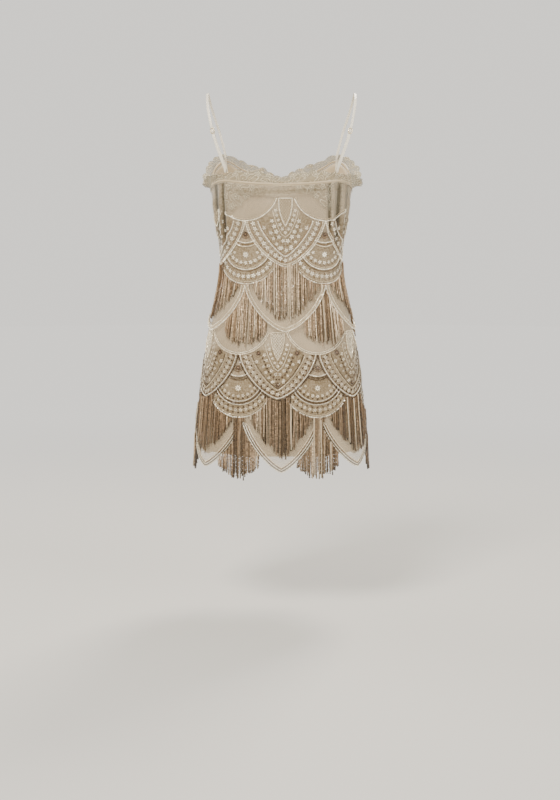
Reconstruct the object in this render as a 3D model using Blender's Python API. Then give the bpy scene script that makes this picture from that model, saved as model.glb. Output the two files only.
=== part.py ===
"""Camisole mini dress with two tiers of beaded scallops and fringe.

The dress keeps the hollow form that it has when it is worn. A plain slip hangs inside a net overlay whose
hem is cut in pointed scallops. Two tiers of fringe hang from narrow beaded strips on the overlay. The top
edge is bound, with scalloped lace standing over the binding and falling below it. Two narrow straps run
over the shoulders, each with a slider, and with a ring that joins it to the back.

Lengths are in millimetres, and are turned into metres where a mesh is made. Heights are measured from the
underside of the straps at the shoulder, where z is 0, and are negative below it. The back faces +Y and the
front -Y. A place on the cloth is given by two numbers: how far it is across, along the cloth from the
centre line of the back or front, and its height.
"""

import functools
import math

import bmesh
import bpy
import numpy as np

MM = 0.001
BACK, FRONT = 1, -1

# The figure that the dress hangs on. The side seams are at y = 0.
BODY = (
    # height, half width, back depth, front depth
    (0, 150, 70, 40),
    (-60, 150, 92, 66),
    (-105, 149, 99, 86),
    (-140, 147, 102, 106),
    (-185, 142, 103, 122),
    (-216, 137.5, 100, 124),
    (-250, 132, 95, 120),
    (-281, 127, 89, 113),
    (-320, 122.5, 82, 106),
    (-350, 121.5, 80, 103),
    (-376, 124.5, 82, 103),
    (-411, 132, 88, 106),
    (-452, 141, 94, 110),
    (-498, 151, 100, 114),
    (-558, 161, 106, 118),
    (-625, 168, 111, 121),
    (-694, 173, 115, 124),
    (-800, 178, 119, 128),
)
SQUARENESS = 2.5  # exponent of the superellipse that each outline follows
SECTION_STEPS = 240
HALF_COLUMNS = 15  # of the body, from the centre line to a side seam
SLIP_COLUMNS = 20  # of a whole slip panel
PANEL_TOP, PANEL_BOTTOM = -210.0, -640.0  # the body's rows between these heights are also rows of each panel

# Soft vertical folds under each arm, and the slow waves of the skirt.
FOLD_DEPTH, FOLD_LENGTH = 3.6, 40.0
FOLD_FROM, FOLD_TO, FOLD_EASE = 88.0, 172.0, 14.0
FOLD_START, FOLD_TOP, FOLD_END = -190.0, -206.0, -300.0
FLUTE_DEPTH, FLUTE_TOP, FLUTE_FULL = 3.0, -540.0, -750.0

# Hems of the two layers. The overlay's has three points on each side.
REPEAT = 158.0
SLIP_HEM = -718.0
HEM_TIP, HEM_NOTCH, HEM_ROUND = -750.0, -650.0, 1.35
SIDE_RISE = 12.0  # of both hems, from the centre line to the side seam

# Layers, measured outwards from the inner face of the overlay.
SLIP_IN, SLIP_OUT = -2.5, -1.4
OVERLAY_IN, OVERLAY_OUT = 0.0, 1.0
TRIM_IN = 2.0
STRAND_IN, STRAND_OUT = 3.2, 4.8
SEAM_GAP = 0.6
SLIP_LOWER = 1.0  # how far the slip's top edge is below the overlay's

# The fringe hangs from strips along the shields and fans of the beaded pattern.
TIER_TOPS = (-253.0, -516.0)
TIER_SHIFTS = (-8.0, 7.0)  # each tier lies a little to one side at the back, and to the other at the front
SHIELD_DEEP, SHIELD_ROUND, SHIELD_REACH = 90.0, 1.5, 22.0
FAN_DEEP, FAN_RADIUS, FAN_REACH = 124.5, 66.0, 54.0
STRIP_WIDE, STRIP_END = 3.6, 1.5
STRAND_PITCH, STRAND_WIDE = 9.0, 2.6
SHIELD_STRAND, FAN_STRAND = 112.0, 124.0
STRAND_STEPS = (2, 1)

# Top edge.
BACK_EDGE = (
    # share of the way to the side seam, height
    (0.0, -186.0),
    (0.25, -184.0),
    (0.45, -180.5),
    (0.58, -178.0),
    (0.72, -181.0),
    (0.86, -188.0),
    (1.0, -194.0),
)
FRONT_EDGE = (
    # share of the way to the side seam, height
    (0.0, -172.0),
    (0.2, -163.0),
    (0.4, -147.0),
    (0.6, -132.0),
    (0.73, -148.0),
    (0.87, -174.0),
    (1.0, -194.0),
)
BINDING_TALL, BINDING_IN, BINDING_OUT = 4.0, -2.8, 1.6

# Lace: how tall it stands over the binding, how far it leans out, and how far it falls below.
BACK_LACE = (
    # share, tall, lean in degrees, fall
    (0.0, 9.0, 2.0, 10.0),
    (0.16, 20.0, 4.0, 14.0),
    (0.3, 22.0, 6.0, 22.0),
    (0.45, 19.0, 10.0, 48.0),
    (0.58, 12.0, 16.0, 56.0),
    (0.72, 18.0, 34.0, 46.0),
    (0.86, 23.0, 58.0, 56.0),
    (1.0, 22.0, 66.0, 62.0),
)
FRONT_LACE = (
    # share, tall, lean in degrees, fall
    (0.0, 9.0, 4.0, 14.0),
    (0.2, 18.0, 6.0, 24.0),
    (0.4, 15.0, 8.0, 40.0),
    (0.6, 12.0, 12.0, 58.0),
    (0.73, 17.0, 30.0, 54.0),
    (0.87, 23.0, 56.0, 58.0),
    (1.0, 22.0, 66.0, 62.0),
)
LACE_THICK = 1.0
LACE_RIPPLE, LACE_RIPPLE_LENGTH = 1.2, 50.0

# Straps: the route of the middle of the left one, from above its ring to above the front.
STRAP_ROUTE = (
    # sideways, depth, height
    (111.5, 77.0, -150.0),
    (119.5, 79.5, -128.0),
    (129.0, 77.5, -101.0),
    (135.0, 73.0, -79.0),
    (141.0, 63.0, -52.0),
    (145.5, 45.0, -26.0),
    (147.3, 23.0, -6.5),
    (147.5, 0.0, 0.5),
    (146.3, -20.0, -6.0),
    (142.0, -36.0, -24.0),
    (135.0, -48.0, -47.0),
    (126.0, -58.0, -75.0),
)
STRAP_WIDE, STRAP_THICK = 5.0, 1.0
STRAP_STEPS = 3
SHOULDER_SLOPE, CHEST_DEEP, SHOULDER_DROP = 0.38, 85.0, 130.0
SLIDER_AT = 3  # row of the route where the slider sits
SLIDER_LONG, SLIDER_WIDE, SLIDER_BAR = 11.0, 9.0, 1.2
SLIDER_CLEAR = 3.0  # from the slider's end to the first free point of the strap
RUNS_CLOSE = 0.3  # the share by which the strap's two runs draw together from the ring to the slider
FIT = 0.35  # clearance between a strap and what it runs round
INSIDE = -4.5  # the middle of a strap's end behind the slip
STRAP_END = 16.0  # how far a strap or tab reaches down inside the top edge
PEAK_SHARE = 0.6
RING_SHARE, RING_HEIGHT, RING_OUT = 0.575, -163.5, -5.4
RING_RADIUS, WIRE_RADIUS, LOOP_RADIUS = 5.5, 0.7, 2.35

COLOURS = {
    # name: red, green, blue, roughness, metallic
    "slip_satin": (0.62, 0.53, 0.42, 0.42, 0.0),
    "overlay_net": (0.66, 0.56, 0.45, 0.6, 0.0),
    "lace": (0.70, 0.63, 0.52, 0.8, 0.0),
    "binding": (0.72, 0.62, 0.50, 0.5, 0.0),
    "strap_satin": (0.82, 0.77, 0.68, 0.4, 0.0),
    "metal": (0.75, 0.68, 0.55, 0.25, 1.0),
    "fringe": (0.62, 0.47, 0.33, 0.3, 0.5),
}


@functools.lru_cache(maxsize=None)
def material(name):
    """One Principled material for each kind of cloth, bead or metal."""
    red, green, blue, roughness, metallic = COLOURS[name]
    made = bpy.data.materials.new(name)
    made.use_nodes = True
    shader = made.node_tree.nodes["Principled BSDF"]
    shader.inputs["Base Color"].default_value = (red, green, blue, 1.0)
    shader.inputs["Roughness"].default_value = roughness
    shader.inputs["Metallic"].default_value = metallic
    return made


def unit(vector):
    return vector / np.linalg.norm(vector)


def ease(value, start, end):
    """0 up to start and 1 past end, with a smooth step between them."""
    part = min(max((value - start) / (end - start), 0.0), 1.0)
    return part * part * (3 - 2 * part)


def column_at(rows, column, share):
    """The value of a table's column at a share of the way to the side seam, on a smooth curve."""
    share = abs(share)
    first = max(i for i, row in enumerate(rows[:-1]) if row[0] <= share)
    before, here, after, later = (rows[abs(i)] if i < len(rows) else rows[-1] for i in range(first - 1, first + 3))
    wide = after[0] - here[0]
    from_before = here[0] - before[0] if first else here[0] + before[0]
    slope_here = (after[column] - before[column]) / (wide + from_before) * wide
    slope_after = (later[column] - here[column]) / (later[0] - here[0]) * wide
    t = (share - here[0]) / wide
    start = (1 + 2 * t) * (1 - t) ** 2 * here[column] + t * (1 - t) ** 2 * slope_here
    return start + t * t * (3 - 2 * t) * after[column] + t * t * (t - 1) * slope_after


def fold(across, height):
    """How far the overlay stands out in a fold: under the arms, and in the waves of the skirt."""
    across = abs(across)
    near = ease(across, FOLD_FROM, FOLD_FROM + FOLD_EASE) * (1 - ease(across, FOLD_TO - FOLD_EASE, FOLD_TO))
    tall = ease(height, FOLD_END, FOLD_TOP) * ease(-height, -FOLD_START, -FOLD_TOP)
    wave = 0.5 - 0.5 * math.cos(2 * math.pi * (across - FOLD_FROM) / FOLD_LENGTH)
    flute = 0.5 + 0.5 * math.cos(2 * math.pi * across / REPEAT)
    return FOLD_DEPTH * near * tall * wave + FLUTE_DEPTH * ease(-height, -FLUTE_TOP, -FLUTE_FULL) * flute


@functools.lru_cache(maxsize=None)
def level(side, number, folded):
    """One row of the body as columns from the centre line to the side seam.

    Returns rows of x, y, normal x, normal y and the length along the cloth.
    """
    height, half_width, back_depth, front_depth = BODY[number]
    depth = back_depth if side == BACK else front_depth
    angle = np.linspace(0, math.pi / 2, SECTION_STEPS)
    x = half_width * np.sin(angle) ** (2 / SQUARENESS)
    y = depth * np.cos(angle) ** (2 / SQUARENESS)
    length = np.concatenate([[0], np.cumsum(np.hypot(np.diff(x), np.diff(y)))])
    along_x, along_y = np.gradient(x, length), np.gradient(y, length)
    size = np.hypot(along_x, along_y)
    place = np.linspace(0, length[-1], HALF_COLUMNS + 1)
    x, y = np.interp(place, length, x), np.interp(place, length, y)
    normal_x, normal_y = np.interp(place, length, -along_y / size), np.interp(place, length, along_x / size)
    out = np.array([fold(across, height) if folded else 0.0 for across in place])
    return np.stack([x + out * normal_x, y + out * normal_y, normal_x, normal_y, place])


@functools.lru_cache(maxsize=None)
def section(side, height, folded=True):
    """The body's columns at any height, on the flat facets between two of its rows."""
    number = 0
    while number < len(BODY) - 2 and height < BODY[number + 1][0]:
        number += 1
    top, bottom = BODY[number][0], BODY[number + 1][0]
    part = (top - height) / (top - bottom)
    return (1 - part) * level(side, number, folded) + part * level(side, number + 1, folded)


def seam(side, height):
    """How far the side seam is across the cloth at a height."""
    return float(section(side, round(height, 2))[4, -1])


def on_cloth(side, across, height, out, folded=True):
    """A point over the overlay's facets, pushed out by a distance. It stops short of the side seam."""
    table = section(side, round(height, 2), folded)
    reach = min(abs(across), table[4, -1] - SEAM_GAP / 2) / table[4, -1] * HALF_COLUMNS
    x, y, normal_x, normal_y = (np.interp(reach, range(HALF_COLUMNS + 1), row) for row in table[:4])
    return np.array([math.copysign(x + out * normal_x, across), side * (y + out * normal_y), height])


def add_mesh(name, points, faces, colour, smooth=True):
    """One closed object from points in millimetres, with its faces turned outwards."""
    mesh = bpy.data.meshes.new(name)
    mesh.from_pydata([tuple(np.array(p) * MM) for p in points], [], faces)
    work = bmesh.new()
    work.from_mesh(mesh)
    bmesh.ops.recalc_face_normals(work, faces=work.faces)
    if work.calc_volume(signed=True) < 0:
        bmesh.ops.reverse_faces(work, faces=work.faces)
    work.to_mesh(mesh)
    work.free()
    if smooth:
        mesh.shade_smooth()
        mesh.set_sharp_from_angle(angle=math.radians(40))
    mesh.materials.append(material(colour))
    made = bpy.data.objects.new(name, mesh)
    bpy.context.scene.collection.objects.link(made)
    return made


def add_wall(name, outer, inner, colour):
    """A closed sheet between two grids of points that have the same rows and columns."""
    outer, inner = np.array(outer), np.array(inner)
    rows, columns = outer.shape[:2]

    def at(row, column, face):
        return face * rows * columns + row * columns + column

    faces = []
    for row in range(rows - 1):
        for column in range(columns - 1):
            ring = ((row, column), (row, column + 1), (row + 1, column + 1), (row + 1, column))
            faces.append([at(*ring[k], 0) for k in (0, 1, 2, 3)])
            faces.append([at(*ring[k], 1) for k in (0, 3, 2, 1)])
    rim = [(0, c) for c in range(columns)]
    rim += [(r, columns - 1) for r in range(1, rows)]
    rim += [(rows - 1, c) for c in range(columns - 2, -1, -1)]
    rim += [(r, 0) for r in range(rows - 2, 0, -1)]
    for here, after in zip(rim, rim[1:] + rim[:1]):
        faces.append([at(*here, 0), at(*here, 1), at(*after, 1), at(*after, 0)])
    points = np.concatenate([outer.reshape(-1, 3), inner.reshape(-1, 3)])
    return add_mesh(name, points, faces, colour)


def add_sweep(name, rings, colour, closed=False):
    """A tube through rings that have the same number of points, with flat ends unless it is closed."""
    rings = np.array(rings)
    count, corners = rings.shape[:2]
    faces = []
    for i in range(count if closed else count - 1):
        after = (i + 1) % count
        for k in range(corners):
            j = (k + 1) % corners
            faces.append([i * corners + k, i * corners + j, after * corners + j, after * corners + k])
    if not closed:
        faces.append(list(range(corners)))
        faces.append([(count - 1) * corners + k for k in reversed(range(corners))])
    return add_mesh(name, rings.reshape(-1, 3), faces, colour)


def edge_height(side, share):
    """The height of the top edge at a share of the way to the side seam."""
    return column_at(BACK_EDGE if side == BACK else FRONT_EDGE, 1, share)


def hem_height(share):
    """The overlay's scalloped hem: three points to a side, with notches between them and at the seams."""
    from_tip = abs((share * 1.5 + 0.5) % 1.0 - 0.5) * 2
    drop = (HEM_NOTCH - HEM_TIP) * (1 - from_tip**HEM_ROUND) ** (1 / HEM_ROUND)
    return HEM_NOTCH - drop + SIDE_RISE * share**2


def panel_heights(top, bottom):
    """Heights of a panel's rows from its top edge to its bottom, on the rows of the body between them."""
    rows = [row[0] for row in BODY if PANEL_TOP > row[0] > PANEL_BOTTOM]
    return [top, (top + rows[0]) / 2] + rows + [(rows[-1] + bottom) / 2, bottom]


def panel(name, side, columns, top, bottom, layer, folded, colour):
    """A whole front or back. top and bottom give its edges at a share of the way to the side seam."""
    shares = np.linspace(-1, 1, columns + 1)
    heights = np.array([panel_heights(top(share), bottom(share)) for share in shares]).T
    grids = ([], [])
    for row in heights:
        for out, grid in zip(layer, grids):
            across = [share * seam(side, height) for share, height in zip(shares, row)]
            grid.append([on_cloth(side, a, height, out, folded) for a, height in zip(across, row)])
    add_wall(name, grids[0], grids[1], colour)


def slip(name, side):
    """The plain layer inside, with a straight hem."""
    panel(name, side, SLIP_COLUMNS, lambda share: edge_height(side, share) - SLIP_LOWER,
          lambda share: SLIP_HEM + SIDE_RISE * share**2, (SLIP_OUT, SLIP_IN), False, "slip_satin")


def overlay(name, side):
    """The net layer that carries the fringe, with its scalloped hem."""
    panel(name, side, 2 * HALF_COLUMNS, lambda share: edge_height(side, share),
          hem_height, (OVERLAY_OUT, OVERLAY_IN), True, "overlay_net")


def flat_normals(path):
    """Unit normals of a path on the flat cloth, upwards where it runs to the left, longer at its corners."""
    step = np.diff(np.array(path, float), axis=0)
    step /= np.linalg.norm(step, axis=1)[:, None]
    turned = np.stack([-step[:, 1], step[:, 0]], axis=1)
    before = np.concatenate([turned[:1], turned])
    middle = before + np.concatenate([turned, turned[-1:]])
    middle /= np.linalg.norm(middle, axis=1)[:, None]
    return middle / np.maximum((middle * before).sum(1), 0.5)[:, None]


def edge_path(side, above):
    """The top edge as a path on the flat cloth, moved up by a distance."""
    shares = np.linspace(-1, 1, 2 * HALF_COLUMNS + 1)
    path = [(s * seam(side, edge_height(side, s)), edge_height(side, s)) for s in shares]
    return np.array(path) + above * flat_normals(path)


def band_rings(side, path, wide, low, high):
    """Rings of four points for a flat band along a path. Points 1 and 2 are on its lower edge."""
    rings = []
    for (across, height), (turn_across, turn_height) in zip(path, flat_normals(path)):
        ring = []
        for part, out in ((0.5, high), (-0.5, high), (-0.5, low), (0.5, low)):
            ring.append(on_cloth(side, across + part * wide * turn_across, height + part * wide * turn_height, out))
        rings.append(ring)
    return rings


def binding(name, side):
    """The folded strip that closes the top edges of the slip and the overlay."""
    path = edge_path(side, SEAM_GAP + BINDING_TALL / 2)
    add_sweep(name, band_rings(side, path, BINDING_TALL, BINDING_IN, BINDING_OUT), "binding")


def standing_lace(name, side):
    """Lace over the binding. It stands up behind the neck and leans out under the arms."""
    table = BACK_LACE if side == BACK else FRONT_LACE
    path = edge_path(side, BINDING_TALL + 2 * SEAM_GAP)
    grids = ([], [])
    for part in (0.0, 0.5, 1.0):
        for lift, grid in zip((LACE_THICK, 0.0), grids):
            line = []
            for share, foot, up in zip(np.linspace(-1, 1, len(path)), path, flat_normals(path)):
                lean = math.radians(column_at(table, 2, share)) * math.sqrt(part)
                reach = column_at(table, 1, share) * part
                ripple = LACE_RIPPLE * part * math.sin(2 * math.pi * foot[0] / LACE_RIPPLE_LENGTH)
                place = foot + up * (reach * math.cos(lean) - lift * math.sin(lean))
                out = reach * math.sin(lean) + lift * math.cos(lean) + max(ripple, 0.0)
                line.append(on_cloth(side, place[0], place[1], out))
            grid.append(line)
    add_wall(name, grids[0], grids[1], "lace")


def falling_lace(name, side):
    """The lace that lies on the overlay below its top edge."""
    table = BACK_LACE if side == BACK else FRONT_LACE
    grids = ([], [])
    for part in (0.0, 0.25, 0.5, 0.75, 1.0):
        for out, grid in zip((TRIM_IN + LACE_THICK, TRIM_IN), grids):
            line = []
            for share in np.linspace(-1, 1, 2 * HALF_COLUMNS + 1):
                height = edge_height(side, share) - SEAM_GAP - column_at(table, 3, share) * part
                line.append(on_cloth(side, share * seam(side, height), height, out))
            grid.append(line)
    add_wall(name, grids[0], grids[1], "lace")


def shield_drop(sideways):
    """How far below a tier's top the pointed lower edge of a shield is, at a distance from its centre."""
    part = abs(sideways) / (REPEAT / 2)
    return SHIELD_DEEP * (1 - part**SHIELD_ROUND) ** (1 / SHIELD_ROUND)


def fan_drop(sideways):
    """How far below a tier's top the round lower edge of a fan is, at a distance from its centre."""
    return FAN_DEEP - FAN_RADIUS + math.sqrt(FAN_RADIUS**2 - sideways**2)


def strand_places(start, end):
    """The left and right sides of each strand between two places, evenly spaced."""
    count = int(round((end - start) / STRAND_PITCH))
    pitch = (end - start) / count
    middles = [start + pitch * (i + 0.5) for i in range(count)]
    return [(m - STRAND_WIDE / 2, m + STRAND_WIDE / 2) for m in middles]


def strand_rings(side, middle, root, tip, steps):
    """Rings of a strand that hangs over the cloth from its root to its tip, straight down its slope."""
    out = on_cloth(side, middle, root, 1) - on_cloth(side, middle, root, 0)
    turn = math.atan2(out[0], abs(out[1])) / (math.pi / 2)
    rings = []
    for step in range(1, steps + 1):
        height = root + (tip - root) * step / steps
        centre = middle + turn * (seam(side, height) - seam(side, root))
        corners = ((-0.5, STRAND_OUT), (-0.5, STRAND_IN), (0.5, STRAND_IN), (0.5, STRAND_OUT))
        rings.append([on_cloth(side, centre + part * STRAND_WIDE, height, out) for part, out in corners])
    return rings


def fringe(name, side, centre, top, drop, reach, long, steps):
    """A narrow strip along a shield or fan with its strands, as one body.

    Each strand has a stretch of the strip of its own. The lower face of that stretch is left out, and the
    strand grows from its four corners.
    """
    places = []
    for left, right in strand_places(centre - reach, centre + reach):
        if max(abs(left), abs(right)) < seam(side, top - drop(left - centre)) - 2 * STRIP_END:
            places += [left, right]
    across = [places[0] - STRIP_END] + places + [places[-1] + STRIP_END]
    path = [(a, top - drop(a - centre)) for a in across]
    rings = band_rings(side, path, STRIP_WIDE, TRIM_IN, STRAND_OUT)
    points = [p for ring in rings for p in ring]
    faces = [[0, 1, 2, 3], [len(points) - k for k in (1, 2, 3, 4)]]
    for i in range(len(rings) - 1):
        stretch = [[4 * i + k, 4 * i + (k + 1) % 4, 4 * i + 4 + (k + 1) % 4, 4 * i + 4 + k] for k in range(4)]
        if i % 2:
            above = [4 * i + 1, 4 * i + 2, 4 * i + 6, 4 * i + 5]
            del stretch[1]
            root = (path[i][1] + path[i + 1][1] - STRIP_WIDE) / 2
            for ring in strand_rings(side, (path[i][0] + path[i + 1][0]) / 2, root, root - long, steps):
                below = list(range(len(points), len(points) + 4))
                points.extend(ring)
                stretch += [[above[k], above[k - 3], below[k - 3], below[k]] for k in range(4)]
                above = below
            stretch.append(above)
        faces += stretch
    add_mesh(name, points, faces, "fringe", smooth=False)


def tier(number, side, word):
    """The fringe of one tier on one side. The top tier is narrower, and has two fans and not four."""
    top, steps, shift = TIER_TOPS[number], STRAND_STEPS[number], TIER_SHIFTS[number] * side
    fans = ((-0.5, 0.5), (-1.5, -0.5, 0.5, 1.5))[number]
    for place, repeat in enumerate((-1, 0, 1)):
        name = f"tier{number + 1}_{word}_shield_{place + 1}"
        fringe(name, side, shift + repeat * REPEAT, top, shield_drop, SHIELD_REACH, SHIELD_STRAND, steps)
    for place, repeat in enumerate(fans):
        name = f"tier{number + 1}_{word}_fan_{place + 1}"
        fringe(name, side, shift + repeat * REPEAT, top, fan_drop, FAN_REACH, FAN_STRAND, steps)


def ribbon_rings(points, facings):
    """Rings of a strap through points, with its outward direction at each point."""
    rings = []
    for i, (point, facing) in enumerate(zip(points, facings)):
        along = unit(points[min(i + 1, len(points) - 1)] - points[max(i - 1, 0)])
        out = unit(facing - along * np.dot(facing, along))
        wide = np.cross(along, out) * STRAP_WIDE / 2
        thick = out * STRAP_THICK / 2
        rings.append([point + wide + thick, point - wide + thick, point - wide - thick, point + wide - thick])
    return rings


def smooth_route(rows):
    """Points on a smooth curve through the rows, with a number of steps between each pair."""
    rows = [2 * rows[0] - rows[1]] + rows + [2 * rows[-1] - rows[-2]]
    route = []
    for a, b, c, d in zip(rows, rows[1:], rows[2:], rows[3:]):
        for t in np.arange(STRAP_STEPS) / STRAP_STEPS:
            bend = (2 * a - 5 * b + 4 * c - d) * t * t + (3 * b - 3 * c + d - a) * t**3
            route.append(0.5 * (2 * b + (c - a) * t + bend))
    return route + [rows[-2]]


def shoulder_facing(point, hand):
    """The outward direction of a strap that lies on the shoulder."""
    drop = (point[2] + SHOULDER_DROP) / SHOULDER_DROP
    return unit(np.array([SHOULDER_SLOPE * hand, point[1] / CHEST_DEEP, drop]))


def square_to(vector, other):
    """The direction of the part of a vector that is square to another."""
    other = unit(other)
    return unit(vector - other * np.dot(vector, other))


class Frame:
    """A place on a strap, with directions along it, out from the body and across it."""

    def __init__(self, centre, along, out):
        self.centre, self.along, self.out = centre, unit(along), unit(out)
        self.across = np.cross(self.along, self.out)

    def at(self, along, out, across=0.0):
        return self.centre + self.along * along + self.out * out + self.across * across


def ring_frames(hand):
    """Two frames in the plane of a ring just inside the back: one faces up its tab, one up its strap."""
    across = hand * RING_SHARE * seam(BACK, RING_HEIGHT)
    centre = on_cloth(BACK, across, RING_HEIGHT, RING_OUT)
    below = on_cloth(BACK, across, RING_HEIGHT - STRAP_END, RING_OUT)
    above = np.array(STRAP_ROUTE[0]) * (hand, 1, 1)
    out = square_to(on_cloth(BACK, across, RING_HEIGHT, 0) - centre, centre - below)
    return Frame(centre, centre - below, out), Frame(centre, square_to(above - centre, out), out)


def half_turn(ring, up):
    """A strap's half turn round the wire, above the ring's centre or below it, with its facings."""
    points, facings = [], []
    for angle in np.linspace(0, math.pi, 7):
        facing = ring.out * math.cos(angle) - ring.along * math.sin(angle) * up
        points.append(ring.at(up * RING_RADIUS, 0) + facing * LOOP_RADIUS)
        facings.append(facing)
    return points, facings


def weave(slider):
    """The strap's points where it passes behind, over and behind the slider's three bars."""
    stand = SLIDER_BAR / 2 + FIT + STRAP_THICK / 2
    near, far = SLIDER_BAR, (SLIDER_LONG - SLIDER_BAR) / 2
    points = []
    for along, out in ((-far - near, -1), (-far + near, -1), (-near, 1), (near, 1), (far - near, -1), (far + near, -1)):
        points.append(slider.at(along, out * stand))
    return points


def strap(name, hand):
    """From inside the front, over the shoulder, through the slider, round the ring and back up to the slider."""
    rows = [np.array(row) * (hand, 1, 1) for row in STRAP_ROUTE]
    peak = edge_height(FRONT, PEAK_SHARE)
    across = hand * PEAK_SHARE * seam(FRONT, peak)
    rows += [on_cloth(FRONT, across, peak + rise, INSIDE) for rise in (STRAP_END, 0, -STRAP_END)]
    route = smooth_route(rows)
    facings = [shoulder_facing(p, hand) for p in route]
    front_facing = on_cloth(FRONT, across, peak, 1) - on_cloth(FRONT, across, peak, 0)
    facings[-2 * STRAP_STEPS:] = [front_facing] * 2 * STRAP_STEPS

    middle = SLIDER_AT * STRAP_STEPS
    along = route[middle + 1] - route[middle - 1]
    slider = Frame(route[middle], along, square_to(facings[middle], along))
    clear = SLIDER_LONG / 2 + SLIDER_CLEAR
    lower = [k for k in range(middle) if np.dot(route[k] - slider.centre, slider.along) < -clear]
    upper = [k for k in range(middle, len(route)) if np.linalg.norm(route[k] - slider.centre) > clear]
    woven = weave(slider)
    points = [route[k] for k in reversed(upper)] + woven[::-1] + [route[k] for k in reversed(lower)]
    outs = [facings[k] for k in reversed(upper)] + [slider.out] * len(woven) + [facings[k] for k in reversed(lower)]

    turn, turn_outs = half_turn(ring_frames(hand)[1], 1)
    under = 2 * LOOP_RADIUS
    back = [route[k] - facings[k] * under * (1 - RUNS_CLOSE * k / middle) for k in lower]
    back.append(slider.at(0, -SLIDER_BAR / 2 - STRAP_THICK * 1.5 - 3 * FIT))
    points += turn + back
    outs += turn_outs + [-facings[k] for k in lower] + [-slider.out]
    add_sweep(name, ribbon_rings(points, outs), "strap_satin")
    return slider


def strap_tab(name, hand):
    """The short loop that holds the ring, sewn inside the back's top edge."""
    ring = ring_frames(hand)[0]
    turn, outs = half_turn(ring, -1)
    edge = edge_height(BACK, RING_SHARE)
    across = hand * RING_SHARE * seam(BACK, RING_HEIGHT)
    inner = INSIDE - STRAP_THICK - FIT
    rises = (-STRAP_END, 0, BINDING_TALL + SEAM_GAP)
    down = [on_cloth(BACK, across, edge + rise, INSIDE) for rise in rises]
    up = [on_cloth(BACK, across, edge + rise, inner) for rise in reversed(rises)]
    facings = [ring.out] * len(down) + outs + [-ring.out] * len(up)
    add_sweep(name, ribbon_rings(down + turn + up, facings), "strap_satin")


def strap_ring(name, hand):
    """The round wire between a strap and its tab."""
    ring = ring_frames(hand)[0]
    rings = []
    for turn in np.linspace(0, 2 * math.pi, 18, endpoint=False):
        wire = []
        for angle in np.linspace(0, 2 * math.pi, 6, endpoint=False):
            radius = RING_RADIUS + WIRE_RADIUS * math.cos(angle)
            out = WIRE_RADIUS * math.sin(angle)
            wire.append(ring.at(radius * math.cos(turn), out, radius * math.sin(turn)))
        rings.append(wire)
    add_sweep(name, rings, "metal", closed=True)


def strap_slider(name, slider):
    """A flat frame with a middle bar: rows and columns of a plate, with two of its cells left open."""
    across = [sign * (SLIDER_WIDE / 2 - inset) for sign, inset in ((-1, 0), (-1, SLIDER_BAR), (1, SLIDER_BAR), (1, 0))]
    half, bar = SLIDER_LONG / 2, SLIDER_BAR
    along = [-half, bar - half, -bar / 2, bar / 2, half - bar, half]
    open_cells = ((1, 1), (3, 1))
    points = [slider.at(d, lift, a) for lift in (bar / 2, -bar / 2) for d in along for a in across]
    count = len(along) * len(across)
    faces = []
    for r in range(len(along) - 1):
        for c in range(len(across) - 1):
            if (r, c) in open_cells:
                continue
            first = r * len(across) + c
            quad = [first, first + 1, first + len(across) + 1, first + len(across)]
            faces += [quad, [count + q for q in reversed(quad)]]
            for k, beside in enumerate(((r - 1, c), (r, c + 1), (r + 1, c), (r, c - 1))):
                outside = beside[0] in (-1, len(along) - 1) or beside[1] in (-1, len(across) - 1)
                if outside or beside in open_cells:
                    start, end = quad[k], quad[(k + 1) % 4]
                    faces.append([start, count + start, count + end, end])
    add_mesh(name, points, faces, "metal", smooth=False)


def main():
    for thing in list(bpy.data.objects):
        bpy.data.objects.remove(thing)
    for side, word in ((BACK, "back"), (FRONT, "front")):
        slip(f"slip_{word}", side)
        overlay(f"overlay_{word}", side)
        binding(f"binding_{word}", side)
        standing_lace(f"lace_{word}_standing", side)
        falling_lace(f"lace_{word}_falling", side)
        for number in range(len(TIER_TOPS)):
            tier(number, side, word)
    for hand, word in ((1, "left"), (-1, "right")):
        slider = strap(f"strap_{word}", hand)
        strap_slider(f"strap_slider_{word}", slider)
        strap_tab(f"strap_tab_{word}", hand)
        strap_ring(f"strap_ring_{word}", hand)


main()
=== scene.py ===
# %% [markdown]
# # A camisole dress with beaded scallops and fringe
#
# The imported model gives the dress its hollow form: a slip, a net overlay, binding, lace, straps, and plain
# strips with strands for the fringe. This lesson dresses that form. Every piece is worked out with numpy as a
# surface of two parameters, or as many copies of a small bead along a line, so each one can be changed by a
# number.
#
# ## Load the model
#
# The model comes in first, because everything is placed on it.

import math

import bpy
import numpy as np
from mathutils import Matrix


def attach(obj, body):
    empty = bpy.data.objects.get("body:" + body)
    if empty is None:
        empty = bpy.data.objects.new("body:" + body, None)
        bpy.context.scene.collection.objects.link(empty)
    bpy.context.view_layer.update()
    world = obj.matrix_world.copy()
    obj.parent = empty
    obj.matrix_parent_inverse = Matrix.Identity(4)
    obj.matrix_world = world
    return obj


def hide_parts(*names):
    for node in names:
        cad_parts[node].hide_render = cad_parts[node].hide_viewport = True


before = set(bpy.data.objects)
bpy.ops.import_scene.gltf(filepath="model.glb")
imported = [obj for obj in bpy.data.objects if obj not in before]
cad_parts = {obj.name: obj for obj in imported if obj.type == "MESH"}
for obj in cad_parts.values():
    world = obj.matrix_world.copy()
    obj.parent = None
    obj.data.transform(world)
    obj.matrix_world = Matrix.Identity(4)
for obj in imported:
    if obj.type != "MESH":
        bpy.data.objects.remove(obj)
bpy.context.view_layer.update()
MM = 0.001
BACK, FRONT = 1, -1
SIDES = ((BACK, "back"), (FRONT, "front"))

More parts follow.
